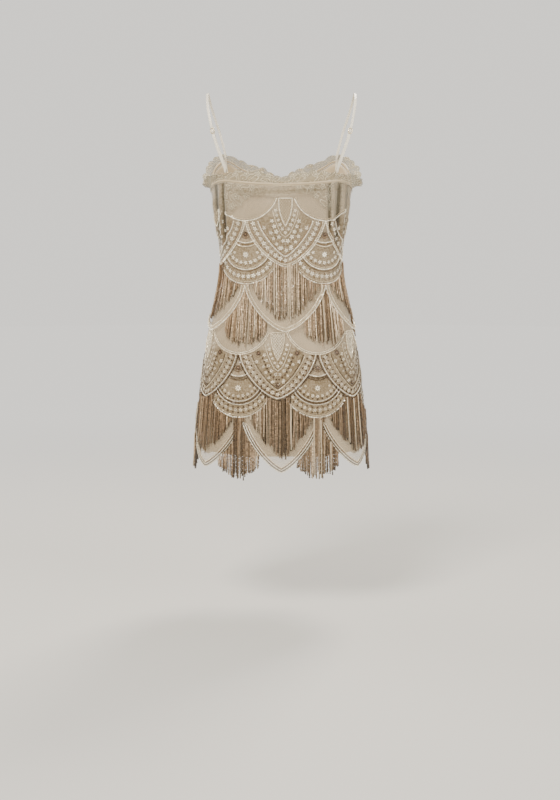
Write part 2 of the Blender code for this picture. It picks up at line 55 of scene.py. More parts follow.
# %% [markdown]
# ## The form under the cloth
#
# A dress keeps the shape of the one who wears it. A row of the table gives that shape at one height, in
# millimetres: half its width at the side seams, and its depth at the back and at the front. Between the
# rows the form follows smooth curves. The outline at each height is a superellipse, which is fuller than
# an ellipse, as a body is. A place on the cloth is then two numbers: how far it is across from the centre
# line, measured along the cloth, and its height.

# %% The table of the form
BODY = (
    # height, half width, back depth, front depth
    (-800, 178, 119, 128),
    (-694, 173, 115, 124),
    (-625, 168, 111, 121),
    (-558, 161, 106, 118),
    (-498, 151, 100, 114),
    (-452, 141, 94, 110),
    (-411, 132, 88, 106),
    (-376, 124.5, 82, 103),
    (-350, 121.5, 80, 103),
    (-320, 122.5, 82, 106),
    (-281, 127, 89, 113),
    (-250, 132, 95, 120),
    (-216, 137.5, 100, 124),
    (-185, 142, 103, 122),
    (-140, 147, 102, 106),
    (-105, 149, 99, 86),
    (-60, 150, 92, 66),
    (0, 150, 70, 40),
)
SQUARENESS = 2.5
ROW_STEP = 2.5
ROWS = np.arange(-805.0, 10.0, ROW_STEP)
SHARES = np.linspace(0, 1, 81)
OUTLINE_STEPS = 241
SEAM_GAP = 0.6


def unit(vector):
    """Vectors of length 1 in the same directions."""
    return vector / np.linalg.norm(vector, axis=-1, keepdims=True)


def run(path):
    """The length of a path up to each of its points."""
    return np.concatenate([[0], np.cumsum(np.linalg.norm(np.diff(path, axis=0), axis=1))])


def full_turn(count):
    """Even angles round a circle."""
    return np.linspace(0, 2 * math.pi, count, endpoint=False)


def through(table, place, even=False):
    """Values on smooth curves through a table's rows.

    Each stretch between two rows is a cubic that has the same slope as its neighbours where they meet. The
    slope at a row is that of its neighbours' chord. An even table is mirrored at its first row.
    """
    table = np.array(table, float)
    key, columns = table[:, 0], table[:, 1:]
    slope = np.gradient(columns, key, axis=0)
    if even:
        slope[0] = 0
    place = np.clip(np.abs(place) if even else place, key[0], key[-1])
    row = np.clip(np.searchsorted(key, place, side="right") - 1, 0, len(key) - 2)
    wide = (key[row + 1] - key[row])[..., None]
    t = (place - key[row])[..., None] / wide
    start = columns[row] * (1 + 2 * t) * (1 - t) ** 2 + slope[row] * wide * t * (1 - t) ** 2
    end = columns[row + 1] * t * t * (3 - 2 * t) + slope[row + 1] * wide * t * t * (t - 1)
    return np.moveaxis(start + end, -1, 0)


def form_grid(side):
    """The form as a grid of x, y and the outward normal, and the half length of the cloth at each height.

    At an angle a from the centre line x is half * sin(a)^(2/s) and y is depth * cos(a)^(2/s), where s is the
    squareness. The columns lie at even lengths along that outline.
    """
    half, back, front = through(BODY, ROWS)
    depth = back if side == BACK else front
    angle = np.linspace(0, math.pi / 2, OUTLINE_STEPS)
    x = half[:, None] * np.sin(angle) ** (2 / SQUARENESS)
    y = depth[:, None] * np.cos(angle) ** (2 / SQUARENESS)
    steps = np.hypot(np.diff(x), np.diff(y))
    length = np.concatenate([np.zeros((len(ROWS), 1)), np.cumsum(steps, axis=1)], axis=1)
    places = SHARES * length[:, -1:]
    x = np.array([np.interp(p, l, row) for p, l, row in zip(places, length, x)])
    y = np.array([np.interp(p, l, row) for p, l, row in zip(places, length, y)])
    across = np.stack([np.gradient(x, axis=1), np.gradient(y, axis=1), np.zeros_like(x)], axis=-1)
    up = np.stack([np.gradient(x, axis=0), np.gradient(y, axis=0), np.full_like(x, ROW_STEP)], axis=-1)
    return np.dstack([x, y, unit(np.cross(up, across))]), length[:, -1]


FORM = {side: form_grid(side) for side, _ in SIDES}


def seam(side, height):
    """How far the side seam is across the cloth at a height."""
    return np.interp(height, ROWS, FORM[side][1])


def on_form(side, across, height):
    """Points on the form and their outward normals, read between the four nearest points of its grid."""
    across, height = np.broadcast_arrays(np.asarray(across, float), np.asarray(height, float))
    grid = FORM[side][0]
    row = np.clip((height - ROWS[0]) / ROW_STEP, 0, len(ROWS) - 1.001)
    wide = seam(side, height)
    column = np.minimum(np.abs(across), wide - SEAM_GAP / 2) / wide * (len(SHARES) - 1)
    i, j = row.astype(int), column.astype(int)
    f, g = (row - i)[..., None], (column - j)[..., None]
    near = grid[i, j] * (1 - g) + grid[i, j + 1] * g
    far = grid[i + 1, j] * (1 - g) + grid[i + 1, j + 1] * g
    value = near * (1 - f) + far * f
    hand = np.where(across < 0, -1.0, 1.0)
    point = np.stack([value[..., 0] * hand, value[..., 1] * side, height], axis=-1)
    normal = np.stack([value[..., 2] * hand, value[..., 3] * side, value[..., 4]], axis=-1)
    return point, unit(normal)


def level_out(side, across, height, out):
    """Points of the form, moved out level with the floor."""
    point, normal = on_form(side, across, height)
    return point + unit(normal * (1, 1, 0)) * np.asarray(out)[..., None]


print("waist", round(float(2 * (seam(BACK, -350) + seam(FRONT, -350)))), "mm round,",
      "hem", round(float(2 * (seam(BACK, -718) + seam(FRONT, -718)))), "mm round")

# %% [markdown]
# ## Folds and ridges
#
# Thin net never lies quite flat. It stands out in folds under the arms, sinks under the binding where the
# beads pull it down, and waves at the hem. Each soft ridge here is placed as a short line on the cloth with
# a width and a depth, and no two are alike. Noise would be quicker, but it makes cloth look like crumpled
# paper. The front has ridges of the same kind in other places.

# %% Ridges of the overlay
REPEAT = 158.0
FOLDS = {
    # across and height of the start, across and height of the end, half width, how far it stands out
    BACK: (
        (-88, -190, -90, -284, 4, 4.4),
        (-107, -194, -104, -296, 4, 5.2),
        (-136, -200, -131, -304, 5, 4.8),
        (-163, -206, -157, -284, 6, 3.6),
        (112, -190, 109, -300, 4, 4.8),
        (130, -195, 126, -308, 4.5, 5.4),
        (160, -204, 154, -290, 7, 4.2),
        (-74, -190, -6, -191, 3.5, 1.6),
        (-14, -189, 74, -186, 3.5, 2.0),
        (-58, -203, 20, -207, 5, 2.2),
        (10, -205, 82, -197, 5, 2.6),
        (-24, -218, -60, -236, 7, 0.8),
        (34, -222, 70, -240, 7, 0.8),
        (-150, -330, -92, -362, 9, 0.9),
        (146, -338, 96, -356, 9, 0.9),
        (-40, -346, 36, -352, 11, 0.8),
    ),
    FRONT: (
        (-112, -192, -106, -276, 5, 4.0),
        (-133, -199, -128, -298, 5, 5.0),
        (-158, -207, -151, -282, 6, 4.2),
        (100, -190, 97, -254, 6, 3.0),
        (122, -195, 116, -300, 5, 5.0),
        (148, -203, 143, -284, 5, 4.4),
        (171, -209, 166, -272, 4, 2.8),
        (-70, -196, -38, -240, 8, 0.8),
        (66, -190, 44, -236, 8, 0.8),
        (-142, -334, -88, -360, 9, 0.8),
        (150, -332, 98, -360, 9, 0.8),
        (-30, -344, 44, -350, 11, 0.7),
    ),
}
HOLLOWS = {
    # the same for the hollows between the folds; the last number, up to 1, also sets how much painted shade
    # the net gets along them
    BACK: (
        (121, -168, 117, -306, 5.2, 1.3),
        (144, -170, 139, -314, 8.5, 1.35),
        (-97, -166, -97, -296, 4.4, 1.1),
        (-121, -170, -117, -304, 7.5, 1.2),
        (-150, -180, -144, -290, 5, 0.8),
        (178, -208, 171, -276, 5, 0.45),
        (-179, -208, -172, -276, 5, 0.45),
    ),
    FRONT: (
        (-122, -194, -117, -286, 5, 0.7),
        (-146, -202, -140, -292, 6, 0.8),
        (111, -192, 106, -276, 5, 0.6),
        (135, -199, 130, -294, 6, 0.8),
        (160, -206, 155, -280, 5, 0.5),
    ),
}
FLUTE_DEPTH, FLUTE_TOP, FLUTE_FULL = 3.0, -540.0, -750.0


def ease(value, start, end):
    """0 up to start and 1 past end, with a smooth step between them."""
    part = np.clip((value - start) / (end - start), 0, 1)
    return part * part * (3 - 2 * part)


def ridges(rows, across, height):
    """The sum of soft ridges, each a bell curve across its line that dies away at the line's ends.

    With d the distance from the line and t the share of the way along it, a ridge is deep * exp(-(d/wide)^2)
    times a smooth step at each end.
    """
    total = np.zeros(np.broadcast(across, height).shape)
    for a0, h0, a1, h1, wide, deep in rows:
        along = np.array([a1 - a0, h1 - h0], float)
        size = np.hypot(*along)
        t = ((across - a0) * along[0] + (height - h0) * along[1]) / size**2
        off = ((across - a0) * along[1] - (height - h0) * along[0]) / size
        total += deep * np.exp(-((off / wide) ** 2)) * ease(t, -0.12, 0.2) * (1 - ease(t, 0.75, 1.12))
    return total


def relief(side, across, height):
    """How far the overlay stands out from the form: its ridges, and the slow waves of the skirt."""
    flute = 0.5 + 0.5 * np.cos(2 * math.pi * across / REPEAT + 0.35 * np.sin(across / 41))
    folds = ridges(FOLDS[side], across, height) - ridges(HOLLOWS[side], across, height)
    return folds + FLUTE_DEPTH * ease(height, FLUTE_TOP, FLUTE_FULL) * flute


def cloth(side, across, height, out=0.0):
    """A point over the overlay, pushed out along the form's normal by its relief and a distance."""
    point, normal = on_form(side, across, height)
    lift = relief(side, across, height) + out
    return point + normal * np.broadcast_to(lift, point.shape[:-1])[..., None]


print(len(FOLDS[BACK]), "ridges at the back,", len(FOLDS[FRONT]), "at the front")

# %% [markdown]
# ## Meshes
#
# All pieces are made in one of two ways. A shell is a sheet with a thickness: a grid of outer points, the
# same grid of inner points, and a rim. A heap is many copies of one small shape, such as a bead, each with
# its own place, direction, size and tone. Both are worked out as whole arrays.

# %% From arrays to a piece
PIECES, TOTAL = {}, {}


def cells(rows, columns, first=0):
    """The four corners of each cell in a grid of points that starts at a number."""
    corner = (np.arange(rows - 1)[:, None] * columns + np.arange(columns - 1)).ravel() + first
    return np.stack([corner, corner + 1, corner + 1 + columns, corner + columns], axis=1)


def shell(outer, inner):
    """A closed sheet from two grids of points that have the same rows and columns."""
    rows, columns = outer.shape[:2]
    count = rows * columns
    number = np.arange(count).reshape(rows, columns)
    rim = np.concatenate([number[0, :-1], number[:-1, -1], number[-1, :0:-1], number[:0:-1, 0]])
    after = np.roll(rim, -1)
    walls = np.stack([rim, rim + count, after + count, after], axis=1)
    faces = np.concatenate([cells(rows, columns), cells(rows, columns, count)[:, ::-1], walls])
    return np.concatenate([outer.reshape(-1, 3), inner.reshape(-1, 3)]), [faces]


def belt(rings, corners, closed=False):
    """Four-sided faces between rings of points that follow each other."""
    here = np.arange(rings if closed else rings - 1)[:, None] * corners
    after = (here + corners) % (rings * corners)
    k = np.arange(corners)
    turn = np.roll(k, -1)
    return np.stack([here + k, here + turn, after + turn, after + k], axis=-1).reshape(-1, 4)


def tube(rings, closed=False):
    """A tube through rings of points, with an end on each side unless it is closed."""
    count, corners = rings.shape[:2]
    k = np.arange(corners)[None]
    ends = [] if closed else [np.concatenate([k[:, ::-1], (count - 1) * corners + k])]
    return rings.reshape(-1, 3), [belt(count, corners, closed)] + ends


def volume(points, faces):
    """Six times the volume inside a closed mesh, below zero where its faces point inwards."""
    total = 0.0
    for group in faces:
        first = points[group[:, 0]]
        for k in range(1, group.shape[1] - 1):
            total += np.einsum("ni,ni->", first, np.cross(points[group[:, k]], points[group[:, k + 1]]))
    return total


def join(parts):
    """Several sets of points, faces and tones as one."""
    points = np.concatenate([part[0] for part in parts])
    tones = np.concatenate([part[2] for part in parts])
    faces, first = {}, 0
    for part in parts:
        for group in part[1]:
            faces.setdefault(group.shape[1], []).append(group + first)
        first += len(part[0])
    return points, [np.concatenate(groups) for groups in faces.values()], tones


def put(name, data):
    """A mesh, a lamp or a camera as an object of the scene."""
    made = bpy.data.objects.new(name, data)
    bpy.context.scene.collection.objects.link(made)
    return made


def add_piece(name, points, faces, finish, slot, replaces=(), uv=None, tones=None, smooth=True):
    """One mesh at the origin, in metres, parented to the empty body:root, which hides the CAD parts that it
    replaces.

    uv gives a pair of lengths on the flat cloth for each point, in metres. tones gives each point a colour.
    """
    if volume(points, faces) < 0:
        faces = [group[:, ::-1] for group in faces]
    mesh = bpy.data.meshes.new(name)
    corners = np.concatenate([group.ravel() for group in faces])
    sizes = np.concatenate([np.full(len(group), group.shape[1]) for group in faces])
    mesh.vertices.add(len(points))
    mesh.vertices.foreach_set("co", (points * MM).astype(np.float32).ravel())
    mesh.loops.add(len(corners))
    mesh.loops.foreach_set("vertex_index", corners.astype(np.int32))
    mesh.polygons.add(len(sizes))
    mesh.polygons.foreach_set("loop_start", np.concatenate([[0], np.cumsum(sizes)[:-1]]).astype(np.int32))
    mesh.update(calc_edges=True)
    if uv is not None:
        layer = mesh.uv_layers.new(name="cloth")
        layer.data.foreach_set("uv", uv[corners].astype(np.float32).ravel())
    if tones is not None:
        colour = mesh.color_attributes.new("tone", "FLOAT_COLOR", "POINT")
        full = np.concatenate([tones, np.ones((len(tones), 1))], axis=1)
        colour.data.foreach_set("color", full.astype(np.float32).ravel())
    if smooth:
        mesh.shade_smooth()
    else:
        mesh.shade_flat()
    mesh.materials.append(finish)
    made = PIECES[name] = put(name, mesh)
    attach(made, "root")
    if replaces:
        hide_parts(*replaces)
    TOTAL[name] = int((sizes - 2).sum())
    print(f"{name}: {TOTAL[name]} triangles")


def add_heap(name, parts, finish, replaces=()):
    """Heaps of beads as one mesh, with the tone of each bead and with flat facets."""
    points, faces, tones = join(parts)
    add_piece(name, points, faces, finish, "fringe", replaces, tones=tones, smooth=False)


# %% [markdown]
# ## Small shapes
#
# A round bead is a spindle with two rings of four points, a bugle is a short four-sided rod, and a sequin is
# a thin five-sided plate. A star is five small spindles round a middle bead. At their real size of 2 to 8 mm
# a few dozen faces each are enough, and their flat facets glitter as the real ones do.

# %% Bead, bugle, sequin and star
RAY, KNOB = ((0.02, 0), (0.25, 0.118), (0.5, 0.025)), ((-0.13, 0), (0, 0.15), (0.13, 0))


def turned(profile, corners):
    """A small closed shape round the x axis from rows of x and radius. A radius of 0 closes an end."""
    angle = np.arange(corners) / corners * 2 * math.pi
    points, rings = [], []
    for x, radius in profile:
        if radius == 0:
            rings.append([len(points)])
            points.append([x, 0, 0])
        else:
            rings.append(list(range(len(points), len(points) + corners)))
            points += [[x, radius * c, radius * s] for c, s in zip(np.cos(angle), np.sin(angle))]
    quads, triangles, ends = [], [], []
    for here, after in zip(rings, rings[1:]):
        for k in range(corners):
            j = (k + 1) % corners
            if len(here) == 1:
                triangles.append([here[0], after[j], after[k]])
            elif len(after) == 1:
                triangles.append([here[k], here[j], after[0]])
            else:
                quads.append([here[k], here[j], after[j], after[k]])
    for ring, step in ((rings[0], -1), (rings[-1], 1)):
        if len(ring) > 1:
            ends.append(ring[::step])
    groups = [np.array(group) for group in (quads, triangles, ends) if group]
    points = np.array(points, float)
    if volume(points, groups) < 0:
        groups = [group[:, ::-1] for group in groups]
    return points, groups


def star_shape(rays):
    """Spindles that point outwards in the plane of x and y round a small bead."""
    parts = []
    spindle = turned(RAY, 4)
    for turn in np.arange(rays) / rays * 2 * math.pi:
        c, s = math.cos(turn), math.sin(turn)
        points = spindle[0] @ np.array([[c, s, 0], [-s, c, 0], [0, 0, 1]])
        parts.append((points, spindle[1], np.zeros((len(points), 3))))
    bead = turned(KNOB, 4)
    parts.append((bead[0] + (0, 0, 0.06), bead[1], np.ones((len(bead[0]), 3))))
    return join(parts)


BEAD = turned(((-0.5, 0), (-0.26, 0.48), (0.26, 0.48), (0.5, 0)), 4)
BUGLE = turned(((-0.5, 0.5), (0.5, 0.5)), 4)
SEQUIN_RIM = [[0.5 * math.cos(a), 0.5 * math.sin(a)] for a in np.arange(5) * math.pi / 2.5]
SEQUIN = tube(np.array([[[*corner, z] for corner in SEQUIN_RIM] for z in (-0.5, 0.5)]))
STAR = star_shape(5)


def strew(shape, centres, along, out, sizes, tones, middle=None):
    """Copies of a small shape. Each point is its centre plus its three sizes times its three directions.

    The first direction is along, the third is the part of out that is square to it, and the second is square
    to both. Where middle is given, it is the tone of the points that the shape marks as its middle.
    """
    along = unit(along)
    beside = unit(np.cross(out, along))
    axes = np.stack([along, beside, np.cross(along, beside)], axis=1)
    points = centres[:, None] + np.einsum("nkj,nji->nki", shape[0][None] * sizes[:, None], axes)
    count = len(shape[0])
    first = (np.arange(len(centres)) * count)[:, None, None]
    faces = [(group[None] + first).reshape(-1, group.shape[1]) for group in shape[1]]
    colours = np.repeat(tones[:, None], count, axis=1)
    if middle is not None:
        colours = np.where(shape[2][None] > 0.5, middle, colours)
    return points.reshape(-1, 3), faces, colours.reshape(-1, 3)


print("bead", len(BEAD[0]), "points, bugle", len(BUGLE[0]), "sequin", len(SEQUIN[0]), "star", len(STAR[0]))

# %% [markdown]
# ## Shader maths
#
# A finish is a node tree, and long sums of Math nodes are hard to read. Here one small class wraps an output
# socket, so that a sum in Python adds the nodes for it. Numbers that are the same all over a finish are set
# on the shader's own sockets.

# %% One class for sockets


def plug(tree, socket, value):
    """Links a wire to a socket, or sets the socket to a plain value."""
    if isinstance(value, Wire):
        tree.links.new(value.socket, socket)
    elif hasattr(value, "__len__") and len(value) == 3 and len(getattr(socket, "default_value", ())) == 4:
        socket.default_value = (*value, 1.0)
    else:
        socket.default_value = value


class Wire:
    """An output socket. Python's sums on it add Math nodes."""

    def __init__(self, tree, socket):
        self.tree, self.socket = tree, socket

    def sum(self, operation, *values):
        made = self.tree.nodes.new("ShaderNodeMath")
        made.operation = operation
        for socket, value in zip(made.inputs, values):
            plug(self.tree, socket, value)
        return Wire(self.tree, made.outputs[0])

    def __add__(self, other):
        return self.sum("ADD", self, other)

    def __sub__(self, other):
        return self.sum("SUBTRACT", self, other)

    def __rsub__(self, other):
        return self.sum("SUBTRACT", other, self)

    def __mul__(self, other):
        return self.sum("MULTIPLY", self, other)

    def __truediv__(self, other):
        return self.sum("DIVIDE", self, other)

    def __mod__(self, other):
        return self.sum("FLOORED_MODULO", self, other)

    def __abs__(self):
        return self.sum("ABSOLUTE", self)

    __rmul__ = __mul__

    def do(self, operation, *values):
        """Any other operation of the Math node, such as SINE."""
        return self.sum(operation, self, *values)

    def held(self):
        """The value, kept between 0 and 1."""
        return self.do("MINIMUM", 1.0).do("MAXIMUM", 0.0)

    def rise(self, low, high):
        """0 below low and 1 above high, with a smooth step between them. low may be above high."""
        t = ((self - low) / (high - low)).held()
        return t * t * (3 - 2 * t)


class Finish:
    """A material with one Principled shader, and the node tree that feeds it."""

    def __init__(self, name, **numbers):
        self.material = bpy.data.materials.new(name)
        self.material.use_nodes = True
        self.tree = self.material.node_tree
        self.shader = self.tree.nodes["Principled BSDF"]
        self.feed(**numbers)

    def feed(self, **values):
        """Sets or links sockets of the shader, and returns the material."""
        for socket, value in values.items():
            plug(self.tree, self.shader.inputs[socket.replace("_", " ")], value)
        return self.material

    def node(self, kind, settings=None, inputs=None, output=0):
        """Any node: its type, its settings, and the values or links of its sockets."""
        made = self.tree.nodes.new("ShaderNode" + kind)
        for setting, value in (settings or {}).items():
            setattr(made, setting, value)
        for socket, value in (inputs or {}).items():
            plug(self.tree, made.inputs[socket], value)
        return Wire(self.tree, made.outputs[output])

    def mix(self, share, low, high, blend="MIX"):
        """A colour between two colours, or another blend of them."""
        return self.node("Mix", {"data_type": "RGBA", "blend_type": blend}, {0: share, 6: low, 7: high}, 2)

    def tone(self, output=0):
        """The tone that the points carry. Output 0 is its colour, and output 2 its brightness."""
        return self.node("Attribute", {"attribute_name": "tone"}, output=output)

    def flat(self):
        """Across and height on the flat cloth, in millimetres, from the piece's UV map."""
        parts = self.tree.nodes.new("ShaderNodeSeparateXYZ")
        plug(self.tree, parts.inputs[0], self.node("UVMap", {"uv_map": "cloth"}))
        return (Wire(self.tree, parts.outputs[0]) - 0.5) * 1000, Wire(self.tree, parts.outputs[1]) * -1000

    def noise(self, scale, detail=2.0):
        """Noise from 0 to 1 over Object coordinates. scale is lumps to a metre."""
        inputs = {"Vector": self.node("TexCoord", output=3), "Scale": scale, "Detail": detail}
        return self.node("TexNoise", inputs=inputs)

    def bump(self, height, distance, strength=1.0):
        """Fine relief. distance is the height of 1, in metres."""
        inputs = {"Height": height, "Distance": distance, "Strength": strength}
        self.feed(Normal=self.node("Bump", inputs=inputs))


def tint(red, green, blue):
    """A screen colour from 0 to 255 as the light it stands for."""
    share = np.array([red, green, blue], float) / 255
    return tuple(np.where(share < 0.04045, share / 12.92, ((share + 0.055) / 1.055) ** 2.4))


# %% [markdown]
# ## Camera, light and floor
#
# The camera looks at the back of the dress from 2.6 m away, a little above it, at the photograph's angle.
# Its lens gives 1268 pixels for each metre at a metre's distance in a picture of 560 by 800. The light is
# soft, as in a pale room: one large lamp above and to the left, a weaker one to the right, the same two at
# the front, and a small one near the camera that makes the beads spark. A pale round backdrop surrounds it
# all. It glows evenly, and only the camera sees it, so that it doesn't wash out the folds. The floor's far
# part glows as the backdrop does, which hides the line between them.

# %% Camera, lamps and floor
LENS_PIXELS, PICTURE_TALL, SENSOR = 1268.0, 800, 36.0
CAMERA_PLACE, CAMERA_DOWN = (0.0026, 2.6, -0.291), 7.19
LAMP_AIM = (0, 0, -0.45)
LAMPS = (
    # name, place, size in metres, power in watts, colour
    ("key", (0.9, 1.7, 1.75), 0.9, 112, (1.0, 0.95, 0.855)),
    ("fill", (-2.0, 1.5, 0.6), 1.4, 40, (1.0, 0.98, 0.94)),
    ("front_key", (-0.9, -1.8, 1.75), 0.9, 100, (1.0, 0.95, 0.855)),
    ("front_fill", (2.0, -1.4, 0.6), 1.4, 38, (1.0, 0.98, 0.94)),
    ("spark", (0.35, 2.5, 0.25), 0.1, 12, (1.0, 0.97, 0.92)),
)
ROOM, FLOOR, BLACK = tint(197, 194, 188), tint(206, 203, 197), (0, 0, 0)
ROOM_GLOW, ROOM_LIGHT = 2.1, 0.62
FLOOR_HEIGHT, FLOOR_RINGS = -1.05, (0.5, 1.0, 2.0, 4.0, 9.0)
GLOW_FROM, GLOW_FULL = 0.7, 3.2
TURN_STEPS, DOME_RINGS = 96, 33

camera = put("camera", bpy.data.cameras.new("camera"))
camera.data.sensor_width = SENSOR
camera.data.lens = LENS_PIXELS * SENSOR / PICTURE_TALL
camera.location = CAMERA_PLACE
camera.rotation_euler = (math.radians(90 - CAMERA_DOWN), 0, math.pi)
bpy.context.scene.camera = camera

for name, place, size, power, colour in LAMPS:
    lamp = put(name, bpy.data.lights.new(name, "AREA"))
    lamp.data.size, lamp.data.energy, lamp.data.color = size, power, colour
    lamp.location = place
    towards = unit(np.array(LAMP_AIM) - np.array(place))
    lamp.rotation_euler = (math.acos(-towards[2]), 0, math.atan2(towards[1], towards[0]) - math.pi / 2)

world = bpy.data.worlds.new("room")
world.use_nodes = True
background = world.node_tree.nodes["Background"]
background.inputs["Color"].default_value = (*ROOM, 1.0)
background.inputs["Strength"].default_value = ROOM_LIGHT
bpy.context.scene.world = world


def scenery(name, points, faces, finish):
    """A mesh that stands round the dress."""
    mesh = bpy.data.meshes.new(name)
    mesh.from_pydata(points.tolist(), [], faces)
    mesh.materials.append(finish)
    return put(name, mesh)


floor_paint = Finish("floor_paint", Roughness=0.9, Emission_Strength=ROOM_GLOW)
place = floor_paint.node("TexCoord", output=3)
far = floor_paint.node("VectorMath", {"operation": "LENGTH"}, {0: place}, 1).rise(GLOW_FROM, GLOW_FULL)
floor_paint.feed(Base_Color=floor_paint.mix(far, FLOOR, BLACK),
                 Emission_Color=floor_paint.mix(far, BLACK, ROOM))
backdrop_paint = Finish("backdrop_paint", Base_Color=BLACK, Roughness=1.0, Specular_IOR_Level=0.0,
                        Emission_Color=ROOM, Emission_Strength=ROOM_GLOW)
turn = full_turn(TURN_STEPS)
circle = np.stack([np.cos(turn), np.sin(turn), 0 * turn], axis=1)
floor_points = np.concatenate([0 * circle[:1]] + [radius * circle for radius in FLOOR_RINGS])
floor_faces = [[0, 1 + k, 1 + (k + 1) % TURN_STEPS] for k in range(TURN_STEPS)]
floor_faces += (belt(len(FLOOR_RINGS), TURN_STEPS)[:, ::-1] + 1).tolist()
floor = scenery("floor", floor_points + (0, 0, FLOOR_HEIGHT), floor_faces, floor_paint.material)
up = np.linspace(-0.5 * math.pi, 0.5 * math.pi, DOME_RINGS)[:, None, None]
dome = FLOOR_RINGS[-1] * (np.cos(up) * circle + np.sin(up) * (0, 0, 1))
backdrop = scenery("backdrop", dome.reshape(-1, 3), belt(DOME_RINGS, TURN_STEPS)[:, ::-1].tolist(),
                   backdrop_paint.material)
backdrop.visible_diffuse = backdrop.visible_glossy = backdrop.visible_shadow = False
print("lens", round(camera.data.lens, 2), "mm")

# %% [markdown]
# ## Finishes
#
# Satin is smooth and shows long soft lights along its warp. Net is a lattice of fine threads with holes
# between, so it is partly see-through. Lace is net with thicker leaves and flowers worked into it. Beads and
# sequins are glass and foil: each copy carries its own tone as an attribute of its points.

# %% Satin, net, lace, beads and metal
WARP_PITCH, WEFT_PITCH, NET_PITCH = 0.34, 0.5, 1.1
LACE_ROW, LACE_STEP = 19, 23


def satin(name, dark, light, roughness):
    """Warp threads a third of a millimetre apart as fine relief, with slow changes of tone and gloss."""
    made = Finish(name, Metallic=0.0, Sheen_Weight=0.25, Sheen_Roughness=0.4, Anisotropic=0.35,
                  Specular_IOR_Level=0.55)
    across, height = made.flat()
    slow = made.noise(9.0, 3.0)
    warp = (across * (2 * math.pi / WARP_PITCH)).do("SINE")
    weft = (height * (2 * math.pi / WEFT_PITCH)).do("SINE")
    weave = warp * weft
    made.bump(weave * 0.5 + made.noise(60.0, 2.0) * 3.0, 0.00006, 0.6)
    shade = (slow - 0.5) * 1.3 + 0.5 + weave * 0.06
    return made.feed(Base_Color=made.mix(shade, dark, light), Roughness=slow * 0.16 + (roughness - 0.08))


def net(name, dark, light):
    """Six-sided tulle. Where its tone is dark it is stitched more densely, so it is also less see-through.
    The painted shade in the tone makes the net less see-through too.
    """
    made = Finish(name, Metallic=0.0, Sheen_Weight=0.3, Sheen_Roughness=0.5, Specular_IOR_Level=0.3)
    across, height = made.flat()
    threads = None
    for angle in np.radians((0, 60, 120)):
        c, s = math.cos(angle) / NET_PITCH, math.sin(angle) / NET_PITCH
        line = (1 - abs(((across * c + height * s) % 1.0) - 0.5) * 2).rise(0.35, 1.0)
        threads = line if threads is None else threads.do("MAXIMUM", line)
    tone = made.noise(14.0, 3.0)
    dense_and_shaded = (1 - made.tone(2)).rise(0.03, 0.3)
    grain = (made.noise(300.0, 2.0) - 0.5) * dense_and_shaded * 3.4
    base = made.mix((tone + grain).held(), dark, light)
    return made.feed(Base_Color=made.mix(1.0, base, made.tone(), "MULTIPLY"), Roughness=tone * 0.1 + 0.5,
                     Alpha=threads * 0.28 + dense_and_shaded * 0.46 + 0.16)


def lace_cloth(name, dark, light):
    """Net as fine as mist, with winding stems and the outlines of flowers worked into it in thicker thread.

    The stems lie where sin(x/5.6 + 1.4 sin(y/7.7)) + sin(y/5.1 + 1.7 sin(x/8.9)) crosses even levels. The
    flowers stand in staggered rows. A flower's outline is where the distance from its middle is
    6.2 * (0.8 + 0.2 * cos(5 * angle)). Noise moves the places a little, so that no two are alike. The falling
    part, where y is below -100, has flowers on both sides and is plain in its middle and at the arms.
    """
    made = Finish(name, Metallic=0.0, Roughness=0.75, Sheen_Weight=0.3, Sheen_Roughness=0.5,
                  Specular_IOR_Level=0.25)
    x, y = made.flat()
    stands = y.rise(-102.0, -100.0)
    from_middle = abs(x - 6)
    worked = (from_middle.rise(116.0, 106.0) * from_middle.rise(22.0, 40.0)).do("MAXIMUM", stands)
    x = x + (made.noise(40.0, 1.0) - 0.5) * 12
    y = y + (made.noise(31.0, 1.0) - 0.5) * 12
    field = (x / 5.6 + (y / 7.7).do("SINE") * 1.4).do("SINE")
    field = field + (y / 5.1 + (x / 8.9).do("SINE") * 1.7).do("SINE")
    stem = abs((field + 4) % 1.1 - 0.55).rise(0.13, 0.05)
    row = (y / LACE_ROW).do("FLOOR")
    u = (x + row * (LACE_STEP / 2)) % LACE_STEP - LACE_STEP / 2
    v = y % LACE_ROW - LACE_ROW / 2
    away = (u * u + v * v).do("SQRT")
    petal = ((v.do("ARCTAN2", u) * 5 + row * 2).do("COSINE") * 0.2 + 0.8) * 6.2
    outline = abs(away - petal).rise(0.85, 0.4).do("MAXIMUM", away.rise(1.7, 1.1))
    cord = outline.do("MAXIMUM", stem * away.rise(6.2, 7.0)) * worked
    inside = (away / petal).rise(1.0, 0.85) * worked
    left, right = (abs((x * 0.62 + y * slant) % 1.0 - 0.5) for slant in (0.5, -0.5))
    thread = left.do("MAXIMUM", right).rise(0.3, 0.46)
    made.bump(cord + inside * 0.2 + thread * 0.2, 0.0004, 0.8)
    solid = (cord * 0.5).do("MAXIMUM", inside * 0.25) + thread * worked * 0.1 + stands * 0.42 + 0.02
    return made.feed(Base_Color=made.mix(cord * 0.8 + inside * 0.2, dark, light), Alpha=solid)


def glass(name, roughness, metallic, coat):
    """Beads: the tone of each copy, a little clearer or duller from one to the next."""
    made = Finish(name, Metallic=metallic, Coat_Weight=coat, Coat_Roughness=0.1, Specular_IOR_Level=0.6)
    return made.feed(Base_Color=made.tone(), Roughness=made.noise(420.0, 1.0) * 0.22 + (roughness - 0.11))


def brass(name, dark, light):
    """Polished metal with fine wear."""
    made = Finish(name, Metallic=1.0, Specular_IOR_Level=0.6)
    wear = made.noise(900.0, 3.0)
    made.bump(wear, 0.00002, 0.5)
    return made.feed(Base_Color=made.mix(wear, dark, light), Roughness=wear * 0.25 + 0.14)


